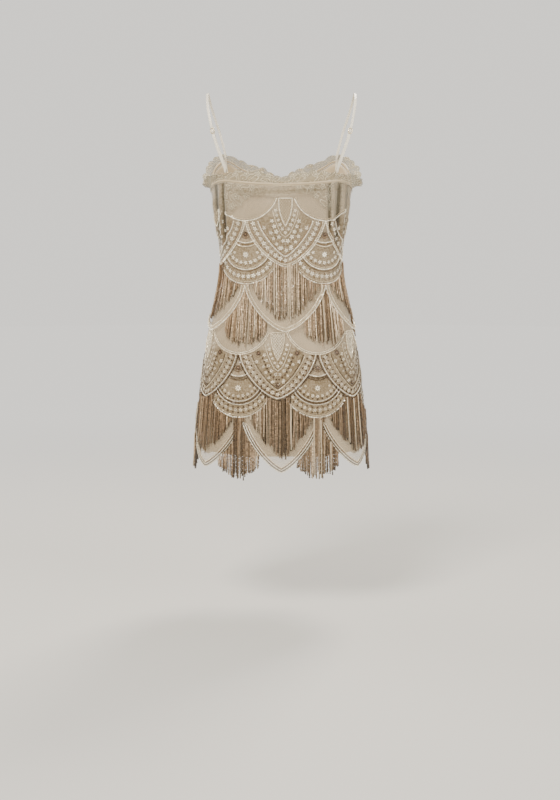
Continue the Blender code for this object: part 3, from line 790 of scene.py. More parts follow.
SLIP_SATIN = satin("slip_satin", tint(188, 169, 138), tint(210, 193, 162), 0.42)
BINDING_SATIN = satin("binding_satin", tint(174, 155, 122), tint(198, 180, 148), 0.38)
STRAP_SATIN = satin("strap_satin", tint(222, 213, 194), tint(240, 233, 217), 0.4)
NET = net("tulle", tint(168, 149, 119), tint(214, 199, 173))
LACE = lace_cloth("lace", tint(160, 148, 120), tint(222, 210, 184))
BEADS = glass("glass_beads", 0.28, 0.22, 0.25)
FRINGE_BEADS = glass("fringe_beads", 0.34, 0.3, 0.12)
METAL = brass("pale_gold", tint(196, 174, 132), tint(232, 216, 182))
print(len(bpy.data.materials), "finishes")

# %% [markdown]
# ## The top edge and the hems
#
# The top edge dips a little behind the neck and rises to a low peak under each strap. At the front the peaks
# are higher. The slip's hem is straight. The overlay's hem is cut in pointed scallops, three to a side. An
# edge's height is given at a share of the way from the centre line to the side seam.

# %% Edges
TOP_EDGE = {
    BACK: ((0, -186), (0.25, -184), (0.45, -180.5), (0.58, -178), (0.72, -181), (0.86, -188), (1, -194)),
    FRONT: ((0, -172), (0.2, -163), (0.4, -147), (0.6, -132), (0.73, -148), (0.87, -174), (1, -194)),
}
SLIP_LOWER, SLIP_HEM, SIDE_RISE = 1.0, -718.0, 12.0
HEM_TIP, HEM_NOTCH, HEM_ROUND = -750.0, -650.0, 1.35
BINDING_TALL, BINDING_IN, BINDING_OUT = 4.0, -2.8, 1.6


def top_edge(side, share):
    return through(TOP_EDGE[side], share, even=True)[0]


def slip_top(side, share):
    return top_edge(side, share) - SLIP_LOWER


def slip_hem(side, share):
    return SLIP_HEM + SIDE_RISE * share**2


def scalloped_hem(side, share):
    """Points at shares 0 and 2/3. From a notch to a tip the drop is (1 - d^r)^(1/r) of the whole."""
    from_tip = np.abs((share * 1.5 + 0.5) % 1.0 - 0.5) * 2
    drop = (HEM_NOTCH - HEM_TIP) * (1 - from_tip**HEM_ROUND) ** (1 / HEM_ROUND)
    return HEM_NOTCH - drop + SIDE_RISE * share**2


def flat_path(side, shares, heights):
    """A path on the flat cloth at shares of the way to the side seam, with its upward normals."""
    path = np.stack([shares * seam(side, heights), heights], axis=1)
    step = np.gradient(path, axis=0)
    return path, unit(np.stack([-step[:, 1], step[:, 0]], axis=1))


print("back edge", top_edge(BACK, np.array([0, 0.58, 1])),
      "front edge", top_edge(FRONT, np.array([0, 0.6, 1])))

# %% [markdown]
# ## Slip and overlay
#
# Each is a front and a back, sewn at the sides. A panel is a shell whose rows run from its top edge to its
# hem and whose columns run from seam to seam. Cloth simulation could drape it, but the dress is filled by
# the one who wears it and hardly hangs free, so the form and the ridges give its shape. The slip lies
# smooth under the net, with a few long shallow drags from bust to hip.

# %% Panels
SLIP_OUTER, SLIP_INNER = -1.4, -2.3
NET_OUTER, NET_INNER = 1.0, 0.3
SLIP_GRID, NET_GRID, CUT_GRID = (61, 81), (175, 117), (201, 201)
DRAGS = (
    # as in FOLDS
    (-90, -215, -48, -330, 16, -0.9),
    (70, -220, 52, -345, 18, -1.0),
    (-20, -235, 8, -360, 20, -0.7),
    (-120, -420, -96, -700, 22, -1.0),
    (-30, -470, -44, -715, 24, -1.1),
    (58, -440, 74, -712, 21, -1.0),
    (140, -430, 150, -690, 20, -0.9),
    (176, -500, 190, -715, 14, -0.8),
    (-178, -520, -186, -715, 15, -0.8),
)


def panel_places(side, columns, rows, top, bottom):
    """Across and height of a panel's points: even shares across, and even steps from its top to its hem."""
    share = np.linspace(-1, 1, columns)[None]
    part = np.linspace(0, 1, rows)[:, None]
    height = top(side, share) * (1 - part) + bottom(side, share) * part
    return share * seam(side, height), height


def cloth_uv(across, height, faces=2):
    """The flat place of each point as a UV pair, for the outer points and again for the inner ones."""
    flat = np.stack([across / 1000 + 0.5, -height / 1000], axis=-1).reshape(-1, 2)
    return np.concatenate([flat] * faces)


def cut_area(side, top, bottom):
    """The flat area of a panel in square metres, and its greatest width and length."""
    across, height = panel_places(side, *CUT_GRID, top, bottom)
    cell = np.diff(across, axis=1)[:-1] * -np.diff(height, axis=0)[:, :-1]
    return cell.sum() * MM * MM, np.ptp(across) * MM, np.ptp(height) * MM


def slip_point(side, across, height, out):
    point, normal = on_form(side, across, height)
    lift = out + ridges(DRAGS, across * side, height)
    return point + normal * lift[..., None]


for side, word in SIDES:
    across, height = panel_places(side, *SLIP_GRID, slip_top, slip_hem)
    outer, inner = (slip_point(side, across, height, out) for out in (SLIP_OUTER, SLIP_INNER))
    add_piece(f"slip_{word}_satin", *shell(outer, inner), SLIP_SATIN, "slip_satin", [f"slip_{word}"],
              cloth_uv(across, height))

# %% [markdown]
# ## The tone of the net
#
# The net is one colour, but the stitching between the lines of beads makes some parts denser. The upper
# tier is pale, with soft brown in its leaves and half-rounds, and the lower tier is browner and darker. A
# tone at each point of the panel multiplies the net's colour. The same tone also carries painted shade: a
# dark band under the binding, and dark lines along the hollows between the folds.

# %% The overlay
TIER_TOPS, TIER_SHIFTS = (-253.0, -516.0), (-8.0, 7.0)
LEAF_HALF, LEAF_TOP, LEAF_LONG, LEAF_BOW = 13.2, 43.0, 53.5, 2.4
NET_TONES = (
    # how much of the net's colour each tier keeps in its leaves, its shields and its fans
    ((0.84, 0.82, 0.77), (0.59, 0.55, 0.48), (0.62, 0.58, 0.51)),
    ((0.86, 0.83, 0.77), (0.51, 0.465, 0.39), (0.55, 0.505, 0.43)),
)
# The fold and hollow tones are painted shade: the share of the net's colour kept in the dark band under the
# binding and along the hollows between folds.
HEART_TONE, PAINTED_FOLD_SHADE, PAINTED_HOLLOW_SHADE = (0.66, 0.58, 0.48), (0.48, 0.46, 0.40), (0.18, 0.17, 0.13)


def tier_place(side, number, across, height):
    """Across from the middle of the nearest shield and from the middle of the nearest fan, and the drop."""
    shift = TIER_SHIFTS[number] * side
    from_shield = (across - shift + REPEAT / 2) % REPEAT - REPEAT / 2
    from_fan = (across - shift) % REPEAT - REPEAT / 2
    return from_shield, from_fan, TIER_TOPS[number] - height


def dyed_and_shaded(tone, share, kept):
    """A tone where a share of the cloth keeps only a part of its colour. It darkens the pattern's denser
    parts, and it also paints shade under the binding and along the hollows.
    """
    return tone * (1 - share[..., None] * (1 - np.array(kept)))


def net_tone_and_shade(side, across, height):
    """Tones of leaves, shields, fans and their hearts, and painted shade under the binding and along the
    hollows.
    """
    tone = np.ones(across.shape + (3,))
    for number, (leaf, shield, ring) in enumerate(NET_TONES):
        u, w, drop = tier_place(side, number, across, height)
        inner = np.abs(u / 52) ** 1.3 + np.abs(np.maximum(drop, 0) / 69) ** 1.3
        whole = np.abs(u / 79) ** 1.5 + np.abs(np.maximum(drop, 0) / 90) ** 1.5
        part = np.clip((drop + LEAF_TOP) / LEAF_LONG, 0, 1)
        in_leaf = ease(LEAF_HALF * (1 - part**LEAF_BOW) - np.abs(u), -1, 1)
        in_leaf *= ease(drop, -LEAF_TOP - 3, -LEAF_TOP)
        in_shield = (1 - ease(whole, 0.94, 1.02)) * ease(np.hypot(w, drop + 66), 64, 67) * ease(drop, -30, -4)
        middle = (1 - ease(inner, 0.9, 1.05)) * in_shield
        heart = np.exp(-((w / 7.5) ** 2) - ((drop - 33) / 4.5) ** 2)
        fan = (1 - ease(np.hypot(w, drop - 58.5), 64, 67)) * ease(drop, 34, 44) * (1 - in_shield)
        tone = dyed_and_shaded(tone, in_shield * (1 - in_leaf) * (0.75 + 0.25 * middle), shield)
        tone = dyed_and_shaded(dyed_and_shaded(dyed_and_shaded(tone, fan, ring), in_leaf, leaf), heart, HEART_TONE)
    under = top_edge(side, np.clip(across / seam(side, height), -1, 1)) - height
    # Painted shade: a dark band about 12 mm under the top edge, where the net folds in under the binding.
    painted_fold_shade = np.exp(-(((under - 12 - 0.03 * across * side) / 6) ** 2)) * (1 - ease(np.abs(across), 84, 108))
    # Painted shade along the hollows between the folds, as strong as each hollow's last number, up to 1.
    painted_hollow_shade = np.clip(ridges(HOLLOWS[side], across, height), 0, 1)
    return dyed_and_shaded(dyed_and_shaded(tone, painted_fold_shade, PAINTED_FOLD_SHADE), painted_hollow_shade, PAINTED_HOLLOW_SHADE)


for side, word in SIDES:
    across, height = panel_places(side, *NET_GRID, top_edge, scalloped_hem)
    outer, inner = (cloth(side, across, height, out) for out in (NET_OUTER, NET_INNER))
    # Besides the pattern, this tone holds painted shade under the binding and along the hollows between
    # folds.
    tone = net_tone_and_shade(side, across, height).reshape(-1, 3)
    add_piece(f"overlay_{word}_net", *shell(outer, inner), NET, "overlay_net", [f"overlay_{word}"],
              cloth_uv(across, height), np.concatenate([tone, tone]))

# %% [markdown]
# ## Binding
#
# A strip of satin is folded over the raw top edges of slip and net and stitched through. Its cross-section is
# a rounded rectangle that is carried along the edge. The stitches draw it in every few millimetres, so its
# surface has fine puckers.

# %% Binding along the top edge
BINDING_COLUMNS = 401
PUCKER_DEEP, PUCKER_PITCH = 0.16, 4.2


def signed_power(value, power):
    """A sine or a cosine raised to a power with its sign kept, as a superellipse needs it."""
    return np.sign(value) * np.abs(value) ** power


def rounded(tall, low, high):
    """The corners of a rounded rectangle, as distances up from its middle and out from the cloth."""
    turn = np.radians([45, 20, -20, -45, -80, -100, -135, -160, 160, 135, 100, 80])
    return np.stack([signed_power(np.sin(turn), 2 / 5) * tall / 2,
                     (high + low) / 2 + signed_power(np.cos(turn), 2 / 5) * (high - low) / 2], axis=1)


for side, word in SIDES:
    shares = np.linspace(-1, 1, BINDING_COLUMNS)
    path, normal = flat_path(side, shares, top_edge(side, shares))
    path = path + normal * (SEAM_GAP + BINDING_TALL / 2)
    along = path[:, :1]
    up, out = rounded(BINDING_TALL, BINDING_IN, BINDING_OUT).T
    point, away = on_form(side, along + normal[:, :1] * up, path[:, 1:] + normal[:, 1:] * up)
    pucker = 1 - PUCKER_DEEP * (0.5 + 0.5 * np.cos(2 * math.pi * along / PUCKER_PITCH + np.sin(along / 17)))
    add_piece(f"binding_{word}_satin", *tube(point + away * (out * pucker)[..., None]), BINDING_SATIN,
              "binding", [f"binding_{word}"], cloth_uv(along + 0 * out, path[:, 1:] + out * 3, 1))

# %% [markdown]
# ## Lace
#
# One strip of lace is sewn into the binding. Its upper part stands over the edge and flares out under the
# arms, and its lower part falls over the net. Each part is a shell between its sewn edge and its scalloped
# outer edge. The frill comes from waves that grow towards the outer edge and change in length along it. The
# rows of the tables give, at a share of the way to the side seam, how tall the lace stands, how many degrees
# it leans out and how far it falls.

# %% Standing and falling lace
LACE_TABLE = {
    BACK: ((0, 9, 2, 10), (0.16, 20, 4, 14), (0.3, 22, 6, 22), (0.45, 19, 10, 48), (0.58, 12, 16, 56),
           (0.72, 18, 34, 46), (0.86, 23, 58, 56), (1, 22, 66, 62)),
    FRONT: ((0, 9, 4, 14), (0.2, 18, 6, 24), (0.4, 15, 8, 40), (0.6, 12, 12, 58), (0.73, 17, 30, 54),
            (0.87, 23, 56, 58), (1, 22, 66, 62)),
}
LACE_COLUMNS, LACE_ROWS, LACE_THICK = 301, 9, 0.7
SCALLOP = 9.2


def lace_at(side, share):
    """How tall the lace stands, how many degrees it leans out and how far it falls."""
    return through(LACE_TABLE[side], share, even=True)


def notches(place, power):
    """0 at the tips of the lace's edge and 1 in the notches between them."""
    return 1 - np.abs(np.sin(math.pi * place / (2 * SCALLOP))) ** power


def frill(place, strength):
    """Uneven waves along the lace: a long one, a shorter one and a slow change between them."""
    slow = 0.6 + 0.4 * np.sin(place / 61.0 + 1.1)
    return strength * (slow * np.sin(place / 5.1 + 1.6 * np.sin(place / 23.0)) + 0.5 * np.sin(place / 9.4))


def standing_point(side, shares, part, lift):
    """A point of the standing lace: part of its height, at a lean that grows with the root of part."""
    tall, lean, _ = lace_at(side, shares)
    path, normal = flat_path(side, shares, top_edge(side, shares))
    path = path + normal * (BINDING_TALL + 2 * SEAM_GAP)
    lean = np.radians(lean) * np.sqrt(part)
    place = path[:, 0] + 5 * np.sin(path[:, 0] / 23)
    tall = tall * (1 - 0.26 * ease(shares, 0.6, 0.9)) * (1 + 0.06 * np.sin(place / 6.1))
    reach = tall * part * (1 - 0.24 * ease(part, 0.4, 1) * notches(place, 0.8))
    wave = frill(path[:, 0], 1.4) * part * (0.7 + ease(np.abs(shares), 0.5, 0.9))
    up = reach * np.cos(lean) - lift * np.sin(lean)
    out = reach * np.sin(lean) + (lift + wave) * np.cos(lean)
    across, height = (path + normal * up[:, None]).T
    return level_out(side, across, height, out + 0.6), path[:, 0], reach


def falling_point(side, shares, part, lift):
    """A point of the falling lace, on the net, with waves that grow towards its scalloped lower edge."""
    fall = lace_at(side, shares)[2]
    top = top_edge(side, shares)
    across = shares * seam(side, top)
    drop = fall * part * (1 - 0.09 * ease(part, 0.5, 1) * notches(across, 0.7))
    height = top - SEAM_GAP - drop
    wave = (frill(across + 31, 0.8) + 1.4) * part * ease(fall, 8, 40)
    return cloth(side, shares * seam(side, height), height, 2.0 + lift + wave), across, -drop


LACE_EDGE = {}
for side, word in SIDES:
    shares = np.linspace(-1, 1, LACE_COLUMNS)
    parts = np.linspace(0, 1, LACE_ROWS)
    for kind, point_of in (("standing", standing_point), ("falling", falling_point)):
        outer_rows, inner_rows = ([point_of(side, shares, part, lift) for part in parts]
                                  for lift in (LACE_THICK, 0.0))
        outer, across, drop = (np.array(grid) for grid in zip(*outer_rows))
        inner = np.array([row[0] for row in inner_rows])
        add_piece(f"lace_{word}_{kind}_frill", *shell(outer, inner), LACE, "lace", [f"lace_{word}_{kind}"],
                  cloth_uv(across, drop - 100))
        LACE_EDGE[word, kind] = (outer[-1] + inner[-1]) / 2, outer[-1] - outer[-2], outer[-1] - inner[-1]

# %% [markdown]
# The cut edge of such lace ends in fine loose threads like eyelashes. Each is a thin three-sided spike that
# points away from the edge.

# %% Eyelash threads
LASH_STEP, LASH_LONG, LASH_WIDE = 2.1, 4.6, 0.42
SPIKE = turned(((0, 0.5), (1, 0)), 3)
for (word, kind), (edge, away, thick) in LACE_EDGE.items():
    length = run(edge)
    place = np.arange(LASH_STEP, length[-1] - LASH_STEP, LASH_STEP)
    centre, along, out = (np.stack([np.interp(place, length, grid[:, k]) for k in range(3)], axis=1)
                          for grid in (edge, away, thick))
    number = np.arange(len(place))
    along = unit(along)
    along = along + np.cross(out, along) * (0.35 * np.sin(number * 2.4))[:, None]
    long = LASH_LONG * (0.62 + 0.38 * np.abs(np.sin(number * 0.71 + 0.4 * np.sin(number * 1.9))))
    wide = np.full(len(place), LASH_WIDE)
    points, faces, _ = strew(SPIKE, centre - along * 0.3, along, out, np.stack([long, wide, wide], axis=1),
                             np.ones((len(place), 3)))
    add_piece(f"lace_{word}_{kind}_threads", points, faces, LACE, "lace",
              uv=cloth_uv(points[:, 0], points[:, 2], 1))

# %% [markdown]
# ## The beaded pattern
#
# Each tier repeats every 158 mm. Arcs hang like swags from pale leaves. Below a leaf is a pointed shield
# with a smaller one inside it, and between two shields is a fan of round arcs. All are curves with simple
# formulas, which are the usual ones of scallop and fish-scale patterns. A pointed curve follows
# |u/wide|^p + |v/deep|^p = 1, and a round one is part of a circle. u is across from the middle of its
# shield or fan, and v is how far it is below the tier's top.

# %% Curves of the pattern
DENSE = np.linspace(-1, 1, 241)
BEAD_ROLL = 0.55


def pointed(wide, deep, power, top=0.0):
    """u = wide * sin(a)^(2/p) and v = top + deep * cos(a)^(2/p), for a from -90 to 90 degrees."""
    angle = DENSE * math.pi / 2
    return wide * signed_power(np.sin(angle), 2 / power), top + deep * np.abs(np.cos(angle)) ** (2 / power)


def round_arc(radius, bottom, reach):
    """u from -reach to reach, and v = bottom - radius + sqrt(radius^2 - u^2)."""
    u = reach * DENSE
    return u, bottom - radius + np.sqrt(radius**2 - u**2)


def leaf_side(hand):
    """u = half * (1 - t^bow) down the leaf's length, so its sides are bowed outwards."""
    t = (DENSE + 1) / 2
    return hand * LEAF_HALF * (1 - t**LEAF_BOW), -LEAF_TOP + LEAF_LONG * t


def leaf_top():
    """The straight upper edge of a leaf."""
    return LEAF_HALF * DENSE, np.full(len(DENSE), -LEAF_TOP)


def round_leaf(gap, low):
    """Both sides of a line that keeps a gap round the leaf, from a share of the way down it."""
    t = np.linspace(low, 1, 120)
    side = LEAF_HALF * (1 - t**LEAF_BOW) + gap * (1 - 0.5 * t)
    v = -LEAF_TOP + LEAF_LONG * t + gap * t
    u = np.concatenate([-side, [0.0], side[::-1]])
    return u, np.concatenate([v, [v[-1] + gap * 0.4], v[::-1]])


CREAM, PALE, SAND = tint(252, 242, 220), tint(238, 224, 196), tint(204, 187, 156)
BRONZE, BROWN, DARK = tint(142, 114, 82), tint(112, 86, 60), tint(78, 58, 40)
LINES = (
    # curve, at a shield or a fan, bead size, tone in each tier, how far out
    (round_arc(66, 0, 62), "fan", 3.0, (CREAM, PALE), 2.0),
    (round_arc(62.6, -3.4, 59), "fan", 1.6, (SAND, CREAM), 1.9),
    (leaf_side(1), "shield", 2.7, (CREAM, PALE), 2.0),
    (leaf_side(-1), "shield", 2.7, (CREAM, PALE), 2.0),
    (leaf_top(), "shield", 2.4, (CREAM, PALE), 2.0),
    (round_leaf(15.5, 0.34), "shield", 1.7, (PALE, PALE), 1.8),
    (pointed(78.5, 90, 1.5), "shield", 3.2, (CREAM, DARK), 2.2),
    (pointed(74.8, 86, 1.5), "shield", 2.4, (PALE, CREAM), 2.1),
    (pointed(72, 82.8, 1.5), "shield", 1.5, (BRONZE, BROWN), 1.9),
    (pointed(54, 70, 1.3), "shield", 3.0, (CREAM, SAND), 2.1),
    (pointed(50.6, 66.4, 1.3), "shield", 1.7, (BRONZE, DARK), 1.9),
    (round_arc(11.5, 34, 11.2), "fan", 1.6, (BROWN, DARK), 1.9),
    (round_arc(8, 31, 7.8), "fan", 1.6, (BRONZE, BROWN), 1.9),
    (round_arc(38, 43, 19), "fan", 2.8, (CREAM, CREAM), 2.0),
    (round_arc(38, 46.6, 19), "fan", 1.6, (BRONZE, DARK), 1.9),
    (round_arc(38, 50.4, 20), "fan", 2.4, (PALE, DARK), 2.0),
    (round_arc(51, 96, 47), "fan", 3.0, (CREAM, DARK), 2.0),
    (round_arc(48, 92.6, 44), "fan", 1.8, (SAND, CREAM), 1.9),
    (round_arc(54, 99.4, 48), "fan", 1.5, (BROWN, CREAM), 1.9),
    (round_arc(68, 124.5, 61), "fan", 3.2, (CREAM, CREAM), 2.2),
    (round_arc(64.4, 120.6, 57), "fan", 1.9, (SAND, SAND), 2.0),
)


def on_tier(side, number, kind, u, v):
    """Across and height on the cloth of a curve, once for each repeat that may reach the panel."""
    start = TIER_SHIFTS[number] * side + (REPEAT / 2 if kind == "fan" else 0)
    places = start + REPEAT * np.arange(-3, 3)
    return places[:, None] + u[None], np.broadcast_to(TIER_TOPS[number] - v[None], (len(places), len(u)))


def below_lace(side, height, across):
    """True where the falling lace doesn't cover the net."""
    share = np.clip(across / seam(side, height), -1, 1)
    return height < top_edge(side, share) - lace_at(side, share)[2] - 1.5


def spaced(side, across, height, start, end, pitch):
    """Across and height at even steps along a path on the cloth, from one margin to the other."""
    length = run(cloth(side, across, height))
    place = np.arange(start, length[-1] - end, pitch)
    return np.interp(place, length, across), np.interp(place, length, height)


def threaded(side, across, height, out, sizes, tone, light, roll=0.0):
    """Beads that follow each other along a path, each turned about it by its roll."""
    centre = cloth(side, across, height, out)
    along = np.gradient(centre, axis=0)
    normal = on_form(side, across, height)[1]
    beside = np.cross(normal, along)
    normal = normal + beside * (roll / np.linalg.norm(beside, axis=1))[:, None]
    return strew(BEAD, centre, along, normal, np.repeat([sizes], len(across), axis=0),
                 np.array(tone) * light[:, None])


def chain(side, across, height, size, tone, out, pitch=1.06):
    """Touching beads along a path on the cloth, in their own directions, with small changes of tone."""
    across, height = spaced(side, across, height, size / 2, 0, size * pitch)
    inside = (np.abs(across) < seam(side, height) - 2.5) & below_lace(side, height, across)
    inside &= height > scalloped_hem(side, across / seam(side, height)) + 1
    across, height = across[inside], height[inside]
    if len(across) < 3:
        return []
    number = np.arange(len(across))
    light = 1 + 0.16 * np.sin(number * 2.3 + across) + 0.10 * np.sin(number * 0.9 + height)
    return [threaded(side, across, height, out, (size * 1.02, size, size * 0.9), tone, light,
                     BEAD_ROLL * np.sin(number * 1.9 + height))]


def chains(side, number, kind, u, v, size, tone, out, pitch=1.06):
    """The same chain in each repeat of a tier."""
    parts = []
    for across, height in zip(*on_tier(side, number, kind, u, v)):
        parts += chain(side, across, height, size, tone, out, pitch)
    return parts


CHAINS = {}
for side, word in SIDES:
    for number in (0, 1):
        parts = []
        for (u, v), kind, size, tone, out in LINES:
            parts += chains(side, number, kind, u, v, size, tone[number], out)
        CHAINS[side, number] = parts

# %% [markdown]
# ## Stars, leaves and flowers
#
# Small stars of five rays stand in rows between the lines, and loosely inside the shields. Each leaf is
# filled by two sets of fine slanting lines that cross. Each fan has a pale flower above its arcs and a small
# brown one at its top, and the shields of the lower tier have three brown ones.

# %% Stars and leaf lattices
STAR_SIZE = 9.6


def row_of(curve, pitch, start=0.5):
    """Places at even steps along a curve."""
    u, v = curve
    length = np.concatenate([[0], np.cumsum(np.hypot(np.diff(u), np.diff(v)))])
    count = int(round(length[-1] / pitch))
    place = (np.arange(count) + start) * length[-1] / count
    return np.interp(place, length, u), np.interp(place, length, v)


def spots(u, v):
    """Single places of the pattern."""
    return np.array(u, float), np.array(v, float)


STAR_ROWS = (
    # places, at a shield or a fan, how large
    (row_of(pointed(64.5, 78, 1.42), 11.2), "shield", 1.0),
    (row_of(round_leaf(9, 0.3), 9.4), "shield", 0.8),
    (row_of(round_leaf(23, 0.5), 10.8), "shield", 0.95),
    (row_of(round_leaf(35, 0.66), 12.2, 0.3), "shield", 0.8),
    (spots((-42, 42, -11, 11), (14, 14, 54, 54)), "shield", 1.0),
    (row_of(round_arc(59, 110, 52), 10.6), "fan", 0.95),
    (row_of(round_arc(42, 82.5, 37), 10.2), "fan", 0.88),
    (spots((-24, 24), (62, 62)), "fan", 0.7),
)
DOT_ROWS = (
    # places, at a shield or a fan
    (row_of(pointed(68.5, 82, 1.45), 10.4, 0.2), "shield"),
    (row_of(pointed(60, 74, 1.4), 10.4, 0.75), "shield"),
    (row_of(round_arc(62, 115, 54), 10.6, 0.0), "fan"),
    (row_of(round_arc(55.5, 104.5, 49), 10.6, 0.5), "fan"),
    (row_of(round_arc(45.5, 87.5, 40), 10.2, 0.0), "fan"),
    (row_of(round_leaf(29, 0.56), 7.4), "shield"),
)
DARK_FLOWERS = (
    # places in each tier, at a shield or a fan, size
    ((spots((0,), (26,)), "fan", 11.5),),
    ((spots((0,), (26,)), "fan", 11.5), (spots((-38, 38), (-3, -3)), "shield", 12.0),
     (spots((0,), (59,)), "shield", 11.0)),
)
PALE_FLOWER, PALE_SIZE = spots((0,), (66.5,)), 11.8
FLOWER = star_shape(8)
STAR_THICK = 2.6
TIER_LOOKS = (
    # petals, middles, leaf lattice, single beads, the size of those, the share of a star's size
    (CREAM, SAND, SAND, BROWN, 2.6, 1.0),
    (PALE, DARK, CREAM, DARK, 3.8, 0.82),
)


def open_places(side, number, kind, u, v, size, margin):
    """Places of the pattern that keep a margin from the seam and lie below the lace, with directions."""
    across, height = (grid.ravel() for grid in on_tier(side, number, kind, u, v))
    inside = (np.abs(across) < seam(side, height) - margin) & below_lace(side, height - size / 2, across)
    across, height = across[inside], height[inside]
    up = cloth(side, across, height + 1) - cloth(side, across, height - 1)
    return across, height, on_form(side, across, height)[1], up


def scatter(side, number, shape, kind, u, v, size, petal, middle):
    """Stars at places of the pattern, each turned by its own angle."""
    across, height, normal, up = open_places(side, number, kind, u, v, size, size * 0.7)
    up -= normal * np.einsum("ni,ni->n", up, normal)[:, None]
    count = np.arange(len(across))
    angle = 0.5 * np.sin(count * 3.7)[:, None]
    along = up * np.cos(angle) + np.cross(up, normal) * np.sin(angle)
    wide = size * (1 + 0.08 * np.sin(count * 1.7))
    light = 1 + 0.14 * np.sin(count * 2.9 + across)
    sizes = np.stack([wide, wide, np.full(len(wide), STAR_THICK)], axis=1)
    return strew(shape, cloth(side, across, height, 1.9), along, normal, sizes,
                 np.array(petal) * light[:, None], np.array(middle))


def dots(side, number, kind, u, v, size, tone):
    """Single beads between the stars."""
    across, height, normal, along = open_places(side, number, kind, u, v, size, size)
    light = 1 + 0.2 * np.sin(np.arange(len(across)) * 2.1)
    sizes = np.repeat([[size, size, size * 0.6]], len(across), axis=0)
    return strew(BEAD, cloth(side, across, height, 1.7), along, normal, sizes,
                 np.array(tone) * light[:, None])


def lattice(side, number, tone):
    """Two sets of slanting lines of small beads that cross inside each leaf."""
    parts = []
    for hand in (1, -1):
        for start in np.arange(-76, 12, 6.4):
            t = np.linspace(0, 1, 60)
            u, v = hand * LEAF_HALF * (2 * t - 1), start + 34 * t
            width = LEAF_HALF * (1 - np.clip((v + LEAF_TOP) / LEAF_LONG, 0, 1) ** LEAF_BOW)
            keep = (np.abs(u) < width - 1.6) & (v > 1.6 - LEAF_TOP)
            if keep.sum() > 6:
                parts += chains(side, number, "shield", u[keep], v[keep], 1.3, tone, 1.5, 1.2)
    return parts


for side, word in SIDES:
    for number, (petal, middle, leaf, dot, dot_size, grown) in enumerate(TIER_LOOKS):
        parts = CHAINS[side, number] + lattice(side, number, leaf)
        for (u, v), kind in DOT_ROWS:
            parts.append(dots(side, number, kind, u, v, dot_size, dot))
        for (u, v), kind, grow in STAR_ROWS:
            parts.append(scatter(side, number, STAR, kind, u, v, STAR_SIZE * grow * grown, petal, middle))
        parts.append(scatter(side, number, FLOWER, "fan", *PALE_FLOWER, PALE_SIZE, petal, middle))
        for (u, v), kind, size in DARK_FLOWERS[number]:
            parts.append(scatter(side, number, FLOWER, kind, u, v, size, DARK, BRONZE))
        add_heap(f"tier{number + 1}_{word}_beadwork", parts, BEADS)

# %% [markdown]
# ## Hem and swags
#
# The scalloped hem of the overlay is edged with five lines of beads, pale and dark by turns, and the upper
# tier has pointed swags of the same form a little above the lower tier. They hang in front of the fringe.

# %% Hem lines and swags
SWAG_TOP, SWAG_DEEP, SWAG_WIDE, SWAG_ROUND = 128.0, 90.0, 78.5, 1.5
SWAG_LINES = (
    # depth, half width, bead size, tone, how far out
    (SWAG_DEEP, SWAG_WIDE, 2.6, CREAM, 7.6),
    (86.6, 75.6, 1.8, SAND, 7.3),
    (83.2, 72.8, 2.4, PALE, 7.4),
)
HEM_LINES = (
    # how far above the hem, bead size, tone
    (0.9, 2.3, CREAM), (3.2, 2.1, DARK), (5.4, 2.3, CREAM), (7.7, 2.1, BROWN), (10.0, 2.3, PALE),
)
HEM_OUT, HEM_COLUMNS = 1.6, 1441


def hem_chain(side, above, size, tone):
    """Beads along the overlay's hem, moved up by a distance square to the hem."""
    shares = np.linspace(-1, 1, HEM_COLUMNS)
    path, normal = flat_path(side, shares, scalloped_hem(side, shares))
    sharp = np.abs((shares * 1.5 + 0.5) % 1.0 - 0.5) * 2
    path = path + normal * above * ease(1 - sharp, -0.02, 0.04)[:, None]
    across, height = spaced(side, *path.T, size, size, size * 1.05)
    light = 1 + 0.18 * np.sin(np.arange(len(across)) * 2.3)
    return threaded(side, across, height, HEM_OUT, (size, size, size * 0.9), tone, light)


for side, word in SIDES:
    add_heap(f"hem_{word}_beads", [hem_chain(side, *line) for line in HEM_LINES], BEADS)
    parts = []
    for deep, wide, size, tone, out in SWAG_LINES:
        parts += chains(side, 0, "shield", *pointed(wide, deep, SWAG_ROUND, SWAG_TOP), size, tone, out)
    add_heap(f"tier1_{word}_swags", parts, BEADS)

# %% [markdown]
# ## Fringe
#
# The strands hang from the lower edges of the shields and fans. A strand is a thread of bugles with seed
# beads between them, of sequins, or of long smooth bugles. Most end a little above the pointed curve below
# them, the swag or the hem, so a pale band of net shows there. The middle of each fan has a bunch of longer
# strands that spreads as it hangs through the notch between two points. Two layers of strands lie a little
# apart, the back one darker, and each strand has its own length, tone, sway and depth, so that the fringe
# looks combed by hand and not printed. All strands of a kind are made at once: rows of the arrays are
# strands, and columns are the beads on them.

# %% Strands
SHIELD_DEEP, SHIELD_ROUND, SHIELD_REACH = 90.0, 1.5, 24.0
FAN_DEEP, FAN_RADIUS, FAN_REACH = 124.5, 66.0, 55.0
STRAND_PITCH, BARE_BELOW, BARE_BESIDE = 4.4, (17.0, 21.0), (8.0, 13.0)
BUNCH_REACH, BUNCH_PITCH, BUNCH_MIDDLE, BUNCH_TIP, BUNCH_ROUND = 41.0, 3.3, 8.0, 249.0, 26.0


def lower_curve(side, number, across):
    """The height of the swag or the hem straight below a place on the cloth."""
    if number == 1:
        return scalloped_hem(side, np.clip(across / seam(side, -700.0), -1, 1))
    u = np.abs(tier_place(side, number, across, np.zeros_like(across))[0]) / SWAG_WIDE
    drop = SWAG_DEEP * (1 - np.minimum(u, 1) ** SWAG_ROUND) ** (1 / SWAG_ROUND)
    return TIER_TOPS[0] - SWAG_TOP - drop


